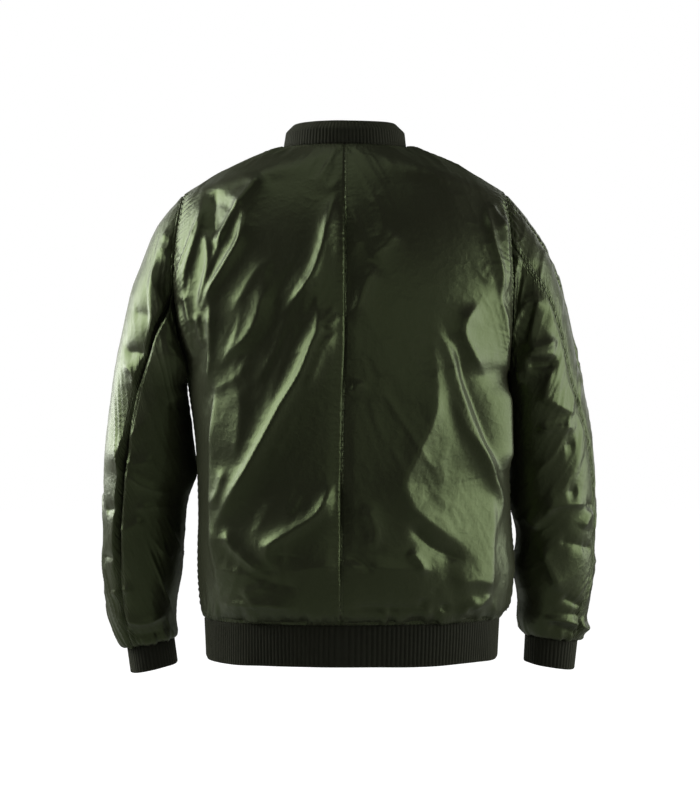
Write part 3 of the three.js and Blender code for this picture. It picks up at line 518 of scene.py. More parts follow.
@dataclass
class JacketForm:
    """The worn form of the jacket before its creases, from the same sizes as its solids."""

    squareness: float = 2.35
    sleeve_squareness: float = 2.15
    side_seam_y: float = 12.0
    underarm_along: float = 310.0
    shoulder_along: float = 640.0
    neck_share: float = 0.38
    neck_half_width: float = 79.0
    neck_side: tuple[float, float] = (4.0, 2.0)
    neck_back: tuple[float, float] = (70.0, 0.0)
    neck_front: tuple[float, float] = (-84.0, -78.0)
    neck_dip: float = 1.3
    shoulder_rise: float = 5.0
    rib_wall: float = 2.8

    def round_section(self, share: np.ndarray, bow: float) -> tuple[np.ndarray, np.ndarray]:
        """Shapes a rounded section.

        Args:
            share: Place round it, 0 in the middle and 1 at the side.
            bow: How much of a quarter turn it goes, in degrees.

        Returns:
            How far out it has gone, and how much of its depth is left, both 0 to 1.
        """
        power = 2 / self.squareness
        angle = share * math.radians(bow)
        out_most = math.sin(math.radians(bow)) ** power
        depth_least = abs(math.cos(math.radians(bow))) ** power
        out = np.sin(angle) ** power / out_most
        deep = (np.abs(np.cos(angle)) ** power - depth_least) / (1 - depth_least)
        return out, deep

    def armhole(self, side: Side, turn: np.ndarray) -> np.ndarray:
        """Points of an armhole seam: turn 0 at the shoulder, 90 at the back, 180 at the underarm."""
        hole = ARMHOLES[side]
        angle = np.radians(turn)
        rise = (1 + np.cos(angle)) / 2
        swing = np.sin(angle)
        x = mix(hole.low_x, hole.top_x, rise) + np.where(swing > 0, hole.back_bow * np.abs(swing) ** 3, 0)
        y = mix(hole.low_y, hole.top_y, rise) + np.where(swing > 0, hole.back, -hole.front) * swing
        return np.stack([side.value * x, y, mix(hole.low_z, hole.top_z, rise)], axis=-1)

    def neck(self, side: Side, face: Face, share: np.ndarray) -> np.ndarray:
        """Points of the neck seam, from the middle back or front to the side of the neck."""
        angle = share * math.pi / 2
        left = np.clip(np.cos(angle), 0, 1)
        middle = self.neck_back if face is Face.BACK else self.neck_front
        x = side.value * self.neck_half_width * np.sin(angle)
        y = mix(self.neck_side[0], middle[0], left)
        return np.stack([x, y, mix(self.neck_side[1], middle[1], left**self.neck_dip)], axis=-1)

    def top_line(self, side: Side, face: Face, share: np.ndarray) -> np.ndarray:
        """Points of the seam at the top of the body: round the neck, then out along the shoulder."""
        round_neck = self.neck(side, face, np.minimum(share / self.neck_share, 1))
        out = np.clip((share - self.neck_share) / (1 - self.neck_share), 0, 1)[:, None]
        corner = self.neck(side, face, np.ones(1))
        shoulder = mix(corner, self.armhole(side, np.zeros(1)), out)
        shoulder[:, 2] += self.shoulder_rise * np.sin(math.pi * out[:, 0])
        return np.where((share <= self.neck_share)[:, None], round_neck, shoulder)

    def section(
        self, side: Side, face: Face, place: BodySection | YokeSection, share: np.ndarray
    ) -> np.ndarray:
        """Points of one section of the body, from its middle to its side.

        Args:
            side: Left or right of its middle.
            face: Back or front.
            place: The section.
            share: Places across it, 0 at the middle and 1 at the side.

        Returns:
            Points in millimetres.
        """
        if isinstance(place, BodySection):
            out, deep = self.round_section(share, 90)
            reach = place.left if side is Side.LEFT else place.right
            depth = place.back if face is Face.BACK else place.front
            x, y = mix(place.middle, reach, out), mix(self.side_seam_y, depth, deep)
            return np.stack([x, y, np.full_like(share, place.z)], axis=-1)
        out, deep = self.round_section(share, place.bow)
        turn = place.turn if face is Face.BACK else 360 - place.turn
        edge = self.armhole(side, np.array(float(turn)))
        depth, z = (place.back, place.back_z) if face is Face.BACK else (place.front, place.front_z)
        return np.stack([edge[0] * out, mix(edge[1], depth, deep), mix(z, edge[2], share**1.5)], axis=-1)

    def body(self, side: Side, face: Face, share: np.ndarray, along: np.ndarray) -> np.ndarray:
        """Shapes one half of the back or the front.

        Args:
            side: Which half.
            face: Back or front.
            share: Places across it, 0 at the middle and 1 at the side or armhole.
            along: Places up it from the hem seam, in millimetres of cloth.

        Returns:
            Points by row and column, in millimetres.
        """
        sections = [*BODY_SECTIONS, *YOKE_SECTIONS]
        points = [self.section(side, face, place, share) for place in sections]
        other = Face.FRONT if face is Face.BACK else Face.BACK
        top = self.top_line(side, face, share)
        straight = 2 * top - points[-1]
        across = self.section(side, other, sections[-1], share)
        over = smooth_step(self.neck_share - 0.12, self.neck_share + 0.06, share)[:, None]
        stations = [place.along for place in sections]
        stations += [self.shoulder_along, 2 * self.shoulder_along - stations[-1]]
        points += [top, mix(straight, across, over)]
        grid = curve_through(np.array(stations, float), np.array(points), along)
        pinned = mix(grid[..., 1], self.side_seam_y, smooth_step(0.96, 1, share)[None, :])
        grid[..., 1] = np.where((along <= self.underarm_along)[:, None], pinned, grid[..., 1])
        return grid

    def sleeve_ring(self, side: Side, ring: SleeveSection, turn: np.ndarray) -> np.ndarray:
        """Points of a sleeve's ring at turns in degrees, from the outer side towards the back."""
        power = 2 / self.sleeve_squareness
        cosine, sine = np.cos(np.radians(turn)), np.sin(np.radians(turn))
        swing = np.sign(cosine) * np.abs(cosine) ** power
        x = (ring.out_x + ring.in_x) / 2 + (ring.out_x - ring.in_x) / 2 * swing
        z = (ring.out_z + ring.in_z) / 2 + (ring.out_z - ring.in_z) / 2 * swing
        y = ring.y + np.sign(sine) * np.abs(sine) ** power * ring.deep
        return np.stack([side.value * x, y, z], axis=-1)

    def cuff_ring(self, side: Side) -> SleeveSection:
        """The ring where a sleeve ends under its cuff's top edge."""
        top, inset, lift = CUFF_SECTIONS[side][0], self.rib_wall, 0.7
        out_x, in_x = top.out_x - inset, top.in_x + inset
        return SleeveSection(out_x, top.out_z + lift, in_x, top.in_z + lift, top.y, top.deep - inset)

    def seam_turn(self, side: Side, seam: str, along: np.ndarray) -> np.ndarray:
        """Where a long seam of a sleeve lies round it at each place along it, in degrees."""
        if seam == "under":
            return np.full_like(along, 180.0)
        rows = SLEEVE_SECTIONS[side]
        turns = np.array([getattr(row, seam) for row in rows])
        return np.interp(along - 1, np.arange(len(rows)), turns)

    def sleeve(self, side: Side, turn: np.ndarray, along: np.ndarray) -> np.ndarray:
        """Shapes a sleeve.

        Args:
            side: Which sleeve.
            turn: Turns in degrees, a row for each place along it.
            along: Places along it, counted in its sections from the armhole.

        Returns:
            Points by row and column, in millimetres.
        """
        rings = [self.sleeve_ring(side, row, turn) for row in SLEEVE_SECTIONS[side]]
        rings.append(self.sleeve_ring(side, self.cuff_ring(side), turn))
        points = np.stack([self.armhole(side, turn), *rings])
        k = np.clip(np.ceil(along).astype(int) - 1, 0, len(points) - 2)
        row = np.arange(len(along))
        share = (along - k)[:, None, None]
        last = len(points) - 1

        def slope(index: np.ndarray) -> np.ndarray:
            """Slope of the curve at each row's section."""
            after, before = np.minimum(index + 1, last), np.maximum(index - 1, 0)
            return (points[after, row] - points[before, row]) / (after - before)[:, None, None]

        return cubic(points[k, row], slope(k), points[k + 1, row], slope(k + 1), share)


@dataclass
class Drape:
    """How the cloth is creased: the main creases by place, and small seeded wrinkles everywhere."""

    eye: tuple[float, float, float] = (-6.5, 2400.0, -325.0)
    gain: float = 1.5
    crest: float = 1.8
    end_taper: float = 0.28
    end_share: float = 0.1
    wrinkle_high: float = 1.75
    wrinkle_long: float = 95.0
    wrinkle_wide: float = 27.0
    small_share: float = 0.42
    small_long: float = 34.0
    small_wide: float = 12.0
    front_drop: float = -16.0
    front_strength: float = 0.9

    def seen(self, points: np.ndarray, face: Face) -> tuple[np.ndarray, np.ndarray]:
        """Where points lie on the plane through the neck as seen from behind, or from the front."""
        near = self.eye[1] / (self.eye[1] - face.value * points[..., 1])
        x = self.eye[0] + (points[..., 0] - self.eye[0]) * near
        z = self.eye[2] + (points[..., 2] - self.eye[2]) * near
        if face is Face.FRONT:
            x, z = -x, z - self.front_drop
        return x, z

    @staticmethod
    def smooth_path(path: Path) -> np.ndarray:
        """Rounds the corners of a path with points between its own."""
        points = np.array(path, float)
        if len(points) < 3:
            return points
        stations = np.arange(len(points), dtype=float)
        return curve_through(stations, points, np.linspace(0, len(points) - 1, 4 * len(points) - 3))

    def rise(self, crease: Crease, x: np.ndarray, z: np.ndarray) -> np.ndarray:
        """Height that one crease gives at places seen flat.

        Args:
            crease: The crease.
            x: Places across, in millimetres.
            z: Places up, in millimetres.

        Returns:
            Heights in millimetres.
        """
        path = self.smooth_path(crease.path)
        reach = 4.5 * max(crease.right, crease.left)
        low, high = path.min(axis=0) - reach, path.max(axis=0) + reach
        near = (x > low[0]) & (x < high[0]) & (z > low[1]) & (z < high[1])
        result = np.zeros_like(x)
        if not near.any():
            return result
        px, pz = x[near], z[near]
        starts, steps = path[:-1], np.diff(path, axis=0)
        lengths = np.hypot(steps[:, 0], steps[:, 1])
        total = lengths.sum()
        begun = np.concatenate([[0], np.cumsum(lengths)[:-1]])
        best = np.full(px.shape, np.inf)
        hand = np.zeros_like(px)
        place = np.zeros_like(px)
        for start, step, length, before in zip(starts, steps, lengths, begun):
            ax, az = px - start[0], pz - start[1]
            share = np.clip((ax * step[0] + az * step[1]) / length**2, 0, 1)
            gap = np.hypot(ax - share * step[0], az - share * step[1])
            closer = gap < best
            best = np.where(closer, gap, best)
            hand = np.where(closer, (az * step[0] - ax * step[1]) / length, hand)
            place = np.where(closer, (before + share * length) / total, place)
        wide = mix(crease.left, crease.right, smooth_step(-4, 4, hand))
        fall = np.exp(-(np.sqrt(best**2 + self.crest**2) - self.crest) / wide)
        ends = smooth_step(0, self.end_taper, place) * smooth_step(0, self.end_taper, 1 - place)
        taper = mix(self.end_share, 1.0, ends)
        result[near] = self.gain * crease.high * taper * fall
        return result

    def creases(self, table: tuple[Crease, ...], points: np.ndarray, normals: np.ndarray) -> np.ndarray:
        """Adds up the main creases over a piece, on both of its faces."""
        total = np.zeros(points.shape[:-1])
        for face in Face:
            facing = smooth_step(-0.02, 0.4, normals[..., 1] * face.value)
            if facing.max() <= 0:
                continue
            x, z = self.seen(points, face)
            strength = 1.0 if face is Face.BACK else self.front_strength
            for crease in table:
                total += facing * strength * self.rise(crease, x, z)
        return total

    def wrinkles(self, across: np.ndarray, up: np.ndarray, lean: float, seed: int) -> np.ndarray:
        """Small seeded wrinkles, long along a lean, over places measured on the cloth in millimetres."""
        turn = math.radians(lean)
        run = across * math.sin(turn) + up * math.cos(turn)
        side = across * math.cos(turn) - up * math.sin(turn)
        bend = 16 * lattice_noise(run / 130, side / 130, seed + 5)
        large = ridge_noise(run / self.wrinkle_long, (side + bend) / self.wrinkle_wide, seed)
        small = ridge_noise((run + 2 * bend) / self.small_long, (side - bend) / self.small_wide, seed + 1)
        patch = smooth_step(-0.3, 0.5, lattice_noise(run / 90, side / 60, seed + 2))
        return self.wrinkle_high * (large * patch + self.small_share * small * mix(0.35, 1.0, patch))


def tuck_edges(
    points: np.ndarray, left: float, right: float, low: float, high: float, reach: float = 3.0
) -> np.ndarray:
    """Lets a panel run a little way past its seams, under its neighbour.

    Args:
        points: Points by row and column.
        left: How far its first column goes past the seam.
        right: How far its last column goes.
        low: How far its first row goes.
        high: How far its last row goes.
        reach: Distance from the edge over which the cloth gives way.

    Returns:
        The moved points.
    """
    moved = points.copy()
    across, up = unit(np.gradient(points, axis=1)), unit(np.gradient(points, axis=0))
    run, climb = run_lengths(points, 1), run_lengths(points, 0)
    for way, gap, amount in (
        (-across, run, left),
        (across, run[:, -1:] - run, right),
        (-up, climb, low),
        (up, climb[-1:] - climb, high),
    ):
        moved += way * (amount * np.clip(1 - gap / reach, 0, 1))[..., None]
    return moved


def grid_normals(points: np.ndarray, outwards: np.ndarray) -> np.ndarray:
    """Normals of a grid of points.

    Args:
        points: Points by row and column.
        outwards: A direction that points out of the piece somewhere near its middle.

    Returns:
        Unit normals that point outwards.
    """
    normals = unit(np.cross(np.gradient(points, axis=1), np.gradient(points, axis=0)))
    middle = normals[normals.shape[0] // 2, normals.shape[1] // 2]
    return normals if float(middle @ outwards) > 0 else -normals


def run_lengths(points: np.ndarray, axis: int) -> np.ndarray:
    """Distance along each row or column of a grid, from its start, in the grid's units."""
    steps = np.linalg.norm(np.diff(points, axis=axis), axis=-1)
    zeros = np.zeros_like(points[..., 0][:, :1] if axis == 1 else points[..., 0][:1])
    return np.concatenate([zeros, np.cumsum(steps, axis=axis)], axis=axis)


def nearest_seam(pairs: list[tuple[np.ndarray, np.ndarray]]) -> np.ndarray:
    """Finds the nearest seam to each corner of a grid.

    Args:
        pairs: For each seam, the distance from it and the distance along it, in millimetres.

    Returns:
        Distance from the nearest seam and along it, in metres.
    """
    apart = 400.0
    gaps = np.stack([gap for gap, _ in pairs])
    runs = np.stack([run + apart * index for index, (_, run) in enumerate(pairs)])
    nearest = gaps.argmin(axis=0)[None]
    return np.stack([np.take_along_axis(grid, nearest, 0)[0] for grid in (gaps, runs)], axis=-1) * MM


def link_object(name: str, mesh: bpy.types.Mesh) -> bpy.types.Object:
    """Adds a mesh to the scene as an object."""
    piece = bpy.data.objects.new(name, mesh)
    bpy.context.scene.collection.objects.link(piece)
    return piece


def link_shape(name: str, shape: bmesh.types.BMesh) -> bpy.types.Object:
    """Adds a shape to the scene as an object, and frees it."""
    mesh = bpy.data.meshes.new(name)
    shape.to_mesh(mesh)
    shape.free()
    return link_object(name, mesh)


def turned_to(x: Vector, y: Vector, z: Vector, place: Vector) -> Matrix:
    """The matrix that turns a shape's axes to three directions and moves it to a place."""
    turn = Matrix((x, y, z)).transposed().to_4x4()
    turn.translation = place
    return turn


def repeat_shape(name: str, shape: bmesh.types.BMesh, places: list[Matrix]) -> bpy.types.Object:
    """Repeats a small shape at many places as one object, and frees it."""
    single = bpy.data.meshes.new(f"{name}_single")
    shape.to_mesh(single)
    shape.free()
    row = bmesh.new()
    for place in places:
        single.transform(place)
        row.from_mesh(single)
        single.transform(place.inverted())
    bpy.data.meshes.remove(single)
    return link_shape(name, row)


def cloth_mesh(
    name: str,
    points: np.ndarray,
    cut: np.ndarray,
    outwards: np.ndarray,
    closed: bool = False,
    seam: np.ndarray | None = None,
) -> bpy.types.Object:
    """Makes a sheet of cloth from a flat grid whose corners move to given points.

    Args:
        name: Name of the object.
        points: Points by row and column, in millimetres.
        cut: Where each lies on the flat cut piece, in metres, for its UV map.
        outwards: Direction that points out of the cloth at the middle of the grid.
        closed: True if the last column meets the first.
        seam: Distance from and along the nearest seam, in metres, for a second UV map.

    Returns:
        The object, with no thickness yet.
    """
    rows, columns = points.shape[:2]
    sheet = bmesh.new()
    bmesh.ops.create_grid(sheet, x_segments=columns - 1, y_segments=rows - 1, size=1.0)
    mesh = bpy.data.meshes.new(name)
    sheet.to_mesh(mesh)
    sheet.free()
    flat = np.empty(len(mesh.vertices) * 3)
    mesh.vertices.foreach_get("co", flat)
    flat = flat.reshape(-1, 3)
    column = np.rint((flat[:, 0] + 1) / 2 * (columns - 1)).astype(int)
    row = np.rint((flat[:, 1] + 1) / 2 * (rows - 1)).astype(int)
    mesh.vertices.foreach_set("co", (points[row, column] * MM).astype(np.float32).ravel())
    corner = np.empty(len(mesh.loops), dtype=np.int32)
    mesh.loops.foreach_get("vertex_index", corner)
    for label, places in (("cut", cut), ("seam", seam)):
        if places is not None:
            layer = mesh.uv_layers.new(name=label)
            layer.data.foreach_set("uv", places[row[corner], column[corner]].astype(np.float32).ravel())
    mesh.update()
    middle = mesh.polygons[(rows // 2) * (columns - 1) + columns // 2]
    sheet = bmesh.new()
    sheet.from_mesh(mesh)
    if middle.normal.dot(Vector(outwards)) < 0:
        bmesh.ops.reverse_faces(sheet, faces=sheet.faces)
    if closed:
        bmesh.ops.remove_doubles(sheet, verts=sheet.verts, dist=1e-6)
    for each in sheet.faces:
        each.smooth = True
    sheet.to_mesh(mesh)
    sheet.free()
    return link_object(name, mesh)


def add_thickness(piece: bpy.types.Object, thick: float) -> None:
    """Gives a sheet its thickness, inwards, in metres."""
    wall = piece.modifiers.new("thickness", "SOLIDIFY")
    wall.thickness = thick
    wall.offset = -1.0


@dataclass
class Placed:
    """A finished grid of cloth that stitches can be laid on."""

    points: np.ndarray
    normals: np.ndarray

    def sample(self, row: np.ndarray, column: np.ndarray) -> tuple[np.ndarray, np.ndarray]:
        """Points and normals at fractional rows and columns."""
        rows, columns = self.points.shape[:2]
        r = np.clip(np.floor(row).astype(int), 0, rows - 2)
        c = np.clip(np.floor(column).astype(int), 0, columns - 2)
        up, across = (row - r)[:, None], (column - c)[:, None]

        def read(grid: np.ndarray) -> np.ndarray:
            """Reads a grid between its four nearest corners."""
            low, high = (mix(grid[line, c], grid[line, c + 1], across) for line in (r, r + 1))
            return mix(low, high, up)

        return read(self.points), unit(read(self.normals))

    def beside(self, edge: Edge, inset: float, first: int, last: int) -> tuple[np.ndarray, np.ndarray]:
        """Points and normals along an edge of the grid, a little way in from it.

        Args:
            edge: The edge.
            inset: Distance from it, in millimetres.
            first: First row or column that is used.
            last: The one after the last.

        Returns:
            Points and normals, in order.
        """
        along_rows = edge in (Edge.START, Edge.END)
        run = run_lengths(self.points, 1 if along_rows else 0)
        run = run if along_rows else run.T
        line = np.arange(first, last)
        place = np.full(len(line), inset) if edge in (Edge.START, Edge.LOW) else run[line, -1] - inset
        across = np.array([np.interp(at, run[k], np.arange(run.shape[1])) for at, k in zip(place, line)])
        ends = (line.astype(float), across)
        return self.sample(*(ends if along_rows else ends[::-1]))


class NodeKit:
    """Short ways to make and join shader nodes in one tree."""

    def __init__(self, tree: bpy.types.NodeTree) -> None:
        """Keeps the tree that the nodes go into."""
        self.tree = tree

    def fill(self, node: bpy.types.Node, inputs: Inputs) -> bpy.types.Node:
        """Sets inputs of a node, by number or name, to values or links them to sockets."""
        for key, value in inputs.items():
            if isinstance(value, bpy.types.NodeSocket):
                self.tree.links.new(value, node.inputs[key])
            else:
                node.inputs[key].default_value = value
        return node

    def node(self, kind: str, inputs: Inputs | None = None, **settings: object) -> bpy.types.Node:
        """Adds a node.

        Args:
            kind: Blender's name of the node type.
            inputs: Its inputs, by number or name.
            settings: Its properties.

        Returns:
            The node.
        """
        node = self.tree.nodes.new(kind)
        for key, value in settings.items():
            setattr(node, key, value)
        return self.fill(node, inputs or {})

    def math(self, operation: str, *values: Socket | float) -> Socket:
        """Works out one sum of sockets and numbers."""
        return self.node("ShaderNodeMath", dict(enumerate(values)), operation=operation).outputs[0]

    def blend(self, share: Socket | float, first: Socket | Colour, second: Socket | Colour) -> Socket:
        """Mixes two colours by a share."""
        return self.node("ShaderNodeMix", {0: share, 6: first, 7: second}, data_type="RGBA").outputs[2]

    def noise(self, place: Socket, scale: Socket | float, detail: float, roughness: float) -> Socket:
        """Soft noise over places."""
        inputs = {"Vector": place, "Scale": scale, "Detail": detail, "Roughness": roughness}
        return self.node("ShaderNodeTexNoise", inputs).outputs["Fac"]

    def split(self, place: Socket, scale: Socket) -> bpy.types.NodeOutputs:
        """Scales a place and splits it into X, Y and Z."""
        scaled = self.node("ShaderNodeVectorMath", {0: place, "Scale": scale}, operation="SCALE")
        return self.node("ShaderNodeSeparateXYZ", {0: scaled.outputs[0]}).outputs

    def bump(self, height: Socket, strength: float, distance: float, below: Socket | None = None) -> Socket:
        """Bumps the surface by a height, on top of the bump below if there is one."""
        bump = self.node("ShaderNodeBump", {"Strength": strength, "Distance": distance, "Height": height})
        if below is not None:
            self.fill(bump, {"Normal": below})
        return bump.outputs["Normal"]


class GroupKit(NodeKit):
    """A shared effect being made: a node group with its inputs and outputs."""

    def __init__(self, name: str, inputs: dict[str, tuple[str, object]], outputs: dict[str, str]) -> None:
        """Starts the group.

        Args:
            name: Name of the node group.
            inputs: Kind and first value of each input, by name.
            outputs: Kind of each output, by name.
        """
        super().__init__(bpy.data.node_groups.new(name, "ShaderNodeTree"))
        for label, (kind, value) in inputs.items():
            socket = self.tree.interface.new_socket(label, in_out="INPUT", socket_type=kind)
            socket.default_value = value
        for label, kind in outputs.items():
            self.tree.interface.new_socket(label, in_out="OUTPUT", socket_type=kind)
        self.given = self.node("NodeGroupInput").outputs
        self.end = self.node("NodeGroupOutput")

    def close(self, results: Inputs) -> bpy.types.NodeTree:
        """Joins the results to the outputs and gives the finished group."""
        self.fill(self.end, results)
        return self.tree


def cloth_tone_group() -> bpy.types.NodeTree:
    """Uneven dye and handling: a broad soft change of colour and gloss over the cloth."""
    kit = GroupKit(
        "cloth_tone",
        {"Place": (VECTOR, (0, 0, 0)), "Light": (COLOUR, (1, 1, 1, 1)), "Dark": (COLOUR, (0, 0, 0, 1)),
         "Smooth": (VALUE, 0.3), "Rough": (VALUE, 0.5)},
        {"Color": COLOUR, "Roughness": VALUE},
    )
    place, smooth = kit.given["Place"], kit.given["Smooth"]
    broad = kit.noise(place, 9.0, 3.0, 0.55)
    fine = kit.noise(place, 120.0, 2.0, 0.5)
    share = kit.math("ADD", kit.math("MULTIPLY", broad, 0.75), kit.math("MULTIPLY", fine, 0.25))
    span = kit.math("SUBTRACT", kit.given["Rough"], smooth)
    return kit.close({
        "Color": kit.blend(share, kit.given["Dark"], kit.given["Light"]),
        "Roughness": kit.math("ADD", smooth, kit.math("MULTIPLY", span, broad)),
    })


def weave_group() -> bpy.types.NodeTree:
    """Fine satin weave along the cut cloth, as a height."""
    inputs = {"Cut": (VECTOR, (0, 0, 0)), "Threads": (VALUE, 9000.0)}
    kit = GroupKit("satin_weave", inputs, {"Height": VALUE})
    place = kit.split(kit.given["Cut"], kit.given["Threads"])
    warp = kit.math("SINE", kit.math("ADD", place["X"], kit.math("MULTIPLY", place["Y"], 0.35)))
    weft = kit.math("SINE", kit.math("SUBTRACT", place["Y"], kit.math("MULTIPLY", place["X"], 0.2)))
    return kit.close({"Height": kit.math("ADD", warp, kit.math("MULTIPLY", weft, 0.4))})


def crumple_group() -> bpy.types.NodeTree:
    """Small soft crumples too fine for the mesh, as a height."""
    inputs = {"Place": (VECTOR, (0, 0, 0)), "Scale": (VALUE, 60.0)}
    kit = GroupKit("crumple", inputs, {"Height": VALUE})
    wave = kit.noise(kit.given["Place"], kit.given["Scale"], 2.0, 0.6)
    folded = kit.math("ABSOLUTE", kit.math("SUBTRACT", wave, 0.5))
    return kit.close({"Height": kit.math("SUBTRACT", 1.0, kit.math("MULTIPLY", folded, 2.0))})


def seam_pucker_group() -> bpy.types.NodeTree:
    """Fine puckers across a seam that die away from it, and a stitched groove beside it, as a height."""
    folds_per_metre, groove_width, groove_depth = (95.0, 260.0, 0.0), 0.0011, 0.1
    inputs = {"Seam": (VECTOR, (0, 0, 0)), "Fade": (VALUE, 0.0055), "Groove": (VALUE, 0.0052)}
    kit = GroupKit("seam_pucker", inputs, {"Height": VALUE})
    seam = kit.given["Seam"]
    stretched = kit.node("ShaderNodeVectorMath", {0: seam, 1: folds_per_metre}, operation="MULTIPLY")
    folds = kit.noise(stretched.outputs[0], 1.0, 1.0, 0.5)
    away = kit.node("ShaderNodeSeparateXYZ", {0: seam}).outputs["X"]
    fall = kit.math("EXPONENT", kit.math("MULTIPLY", kit.math("DIVIDE", away, kit.given["Fade"]), -1.0))
    height = kit.math("MULTIPLY", kit.math("SUBTRACT", folds, 0.5), fall)
    beside = kit.math("DIVIDE", kit.math("SUBTRACT", away, kit.given["Groove"]), groove_width)
    groove = kit.math("EXPONENT", kit.math("MULTIPLY", kit.math("MULTIPLY", beside, beside), -1.0))
    return kit.close({"Height": kit.math("SUBTRACT", height, kit.math("MULTIPLY", groove, groove_depth))})


def knit_group() -> bpy.types.NodeTree:
    """Knitted stitches along the cut cloth: small slanted loops, as a height, and the same value as painted
    shade that darkens the hollows between them.
    """
    inputs = {"Cut": (VECTOR, (0, 0, 0)), "Stitches": (VALUE, 2600.0)}
    kit = GroupKit("rib_stitches", inputs, {"Height": VALUE, "Shade": VALUE})
    place = kit.split(kit.given["Cut"], kit.given["Stitches"])
    fold = kit.math("ABSOLUTE", kit.math("SINE", kit.math("MULTIPLY", place["X"], 0.5)))
    slant = kit.math("ADD", kit.math("MULTIPLY", place["Y"], 1.6), kit.math("MULTIPLY", fold, 2.2))
    shade = kit.math("MULTIPLY", kit.math("ADD", kit.math("SINE", slant), 1.0), 0.5)
    return kit.close({"Height": shade, "Shade": shade})


@dataclass(frozen=True)
class Finish:
    """What every finish has: a name, two tones, and the roughnesses between which it varies."""

    name: str
    light: Colour
    dark: Colour
    smooth: float
    rough: float


class MaterialKit(NodeKit):
    """A material being made: its shader, its places and its uneven tone."""

    def __init__(self, finish: Finish, groups: Groups) -> None:
        """Starts the material with the tones and roughnesses of its finish."""
        self.material = bpy.data.materials.new(finish.name)
        self.material.use_nodes = True
        super().__init__(self.material.node_tree)
        self.place = self.node("ShaderNodeTexCoord").outputs
        tones = {label: getattr(finish, label.lower()) for label in ("Light", "Dark", "Smooth", "Rough")}
        self.tone = self.effect(groups["tone"], {"Place": self.place["Object"], **tones})
        self.shader = self.tree.nodes["Principled BSDF"]
        self.fill(self.shader, {"Base Color": self.tone.outputs["Color"]})
        self.fill(self.shader, {"Roughness": self.tone.outputs["Roughness"]})

    def effect(self, group: bpy.types.NodeTree, inputs: Inputs) -> bpy.types.Node:
        """Adds a shared effect."""
        return self.node("ShaderNodeGroup", inputs, node_tree=group)


@dataclass(frozen=True)
class NylonFinish(Finish):
    """Satin nylon: olive, with a soft coloured sheen."""

    name: str = "satin_nylon"
    light: Colour = (0.031, 0.0295, 0.021, 1)
    dark: Colour = (0.02, 0.019, 0.0135, 1)
    smooth: float = 0.33
    rough: float = 0.41
    specular: float = 0.9
    ior: float = 1.5
    tint: Colour = (0.75, 1.0, 0.42, 1)
    sheen: float = 0.05
    sheen_rough: float = 0.4

    def material(self, groups: Groups) -> bpy.types.Material:
        """Makes the material from the shared effects."""
        kit = MaterialKit(self, groups)
        seam = kit.node("ShaderNodeUVMap", uv_map="seam").outputs["UV"]
        crumples = kit.effect(groups["crumple"], {"Place": kit.place["Object"]})
        puckers = kit.effect(groups["seam"], {"Seam": seam})
        weave = kit.effect(groups["weave"], {"Cut": kit.place["UV"]})
        normal = kit.bump(crumples.outputs["Height"], 0.35, 0.0012)
        normal = kit.bump(puckers.outputs["Height"], 1.0, 0.0036, normal)
        normal = kit.bump(weave.outputs["Height"], 0.15, 0.00003, normal)
        kit.fill(kit.shader, {
            "Specular IOR Level": self.specular, "Specular Tint": self.tint, "IOR": self.ior,
            "Sheen Weight": self.sheen, "Sheen Roughness": self.sheen_rough, "Sheen Tint": self.tint,
            "Normal": normal,
        })
        return kit.material


@dataclass(frozen=True)
class KnitFinish(Finish):
    """Matt knitted or woven yarn, as on the ribs, the zip tapes and the thread."""

    smooth: float = 0.7
    rough: float = 0.95
    stitches: float = 2600.0
    deep: float = 0.0004
    specular: float = 0.25
    sheen: float = 0.12
    sheen_rough: float = 0.5
    sheen_tint: Colour = (0.62, 0.68, 0.4, 1)

    def material(self, groups: Groups) -> bpy.types.Material:
        """Makes the material from the shared effects."""
        kit = MaterialKit(self, groups)
        knit = kit.effect(groups["knit"], {"Cut": kit.place["UV"], "Stitches": self.stitches})
        # Painted shade: the colour goes halfway to the dark tone in the hollows between the knitted loops.
        shade = kit.math("MULTIPLY_ADD", knit.outputs["Shade"], 0.5, 0.5)
        kit.fill(kit.shader, {
            "Base Color": kit.blend(shade, self.dark, kit.tone.outputs["Color"]),
            "Specular IOR Level": self.specular, "Sheen Weight": self.sheen,
            "Sheen Roughness": self.sheen_rough, "Sheen Tint": self.sheen_tint,
            "Normal": kit.bump(knit.outputs["Height"], 0.8, self.deep),
        })
        return kit.material


@dataclass(frozen=True)
class MetalFinish(Finish):
    """Aged zip metal with rubbed patches."""

    name: str = "zip_metal"
    light: Colour = (0.42, 0.38, 0.3, 1)
    dark: Colour = (0.16, 0.14, 0.11, 1)
    smooth: float = 0.22
    rough: float = 0.5
    metallic: float = 0.9
    zoom: float = 14.0

    def material(self, groups: Groups) -> bpy.types.Material:
        """Makes the material from the shared effects."""
        kit = MaterialKit(self, groups)
        mapping = {"Vector": kit.place["Object"], "Scale": (self.zoom, self.zoom, self.zoom)}
        kit.fill(kit.tone, {"Place": kit.node("ShaderNodeMapping", mapping).outputs["Vector"]})
        kit.fill(kit.shader, {"Metallic": self.metallic})
        return kit.material


RIB_FINISH = KnitFinish("rib_knit", (0.032, 0.034, 0.019, 1), (0.011, 0.012, 0.006, 1))
TAPE_FINISH = KnitFinish(
    "zip_tape", (0.03, 0.036, 0.02, 1), (0.016, 0.02, 0.01, 1), stitches=5200.0, deep=0.0002
)
THREAD_FINISH = KnitFinish(
    "thread", (0.026, 0.029, 0.017, 1), (0.015, 0.018, 0.01, 1), stitches=9000.0, deep=0.0001
)


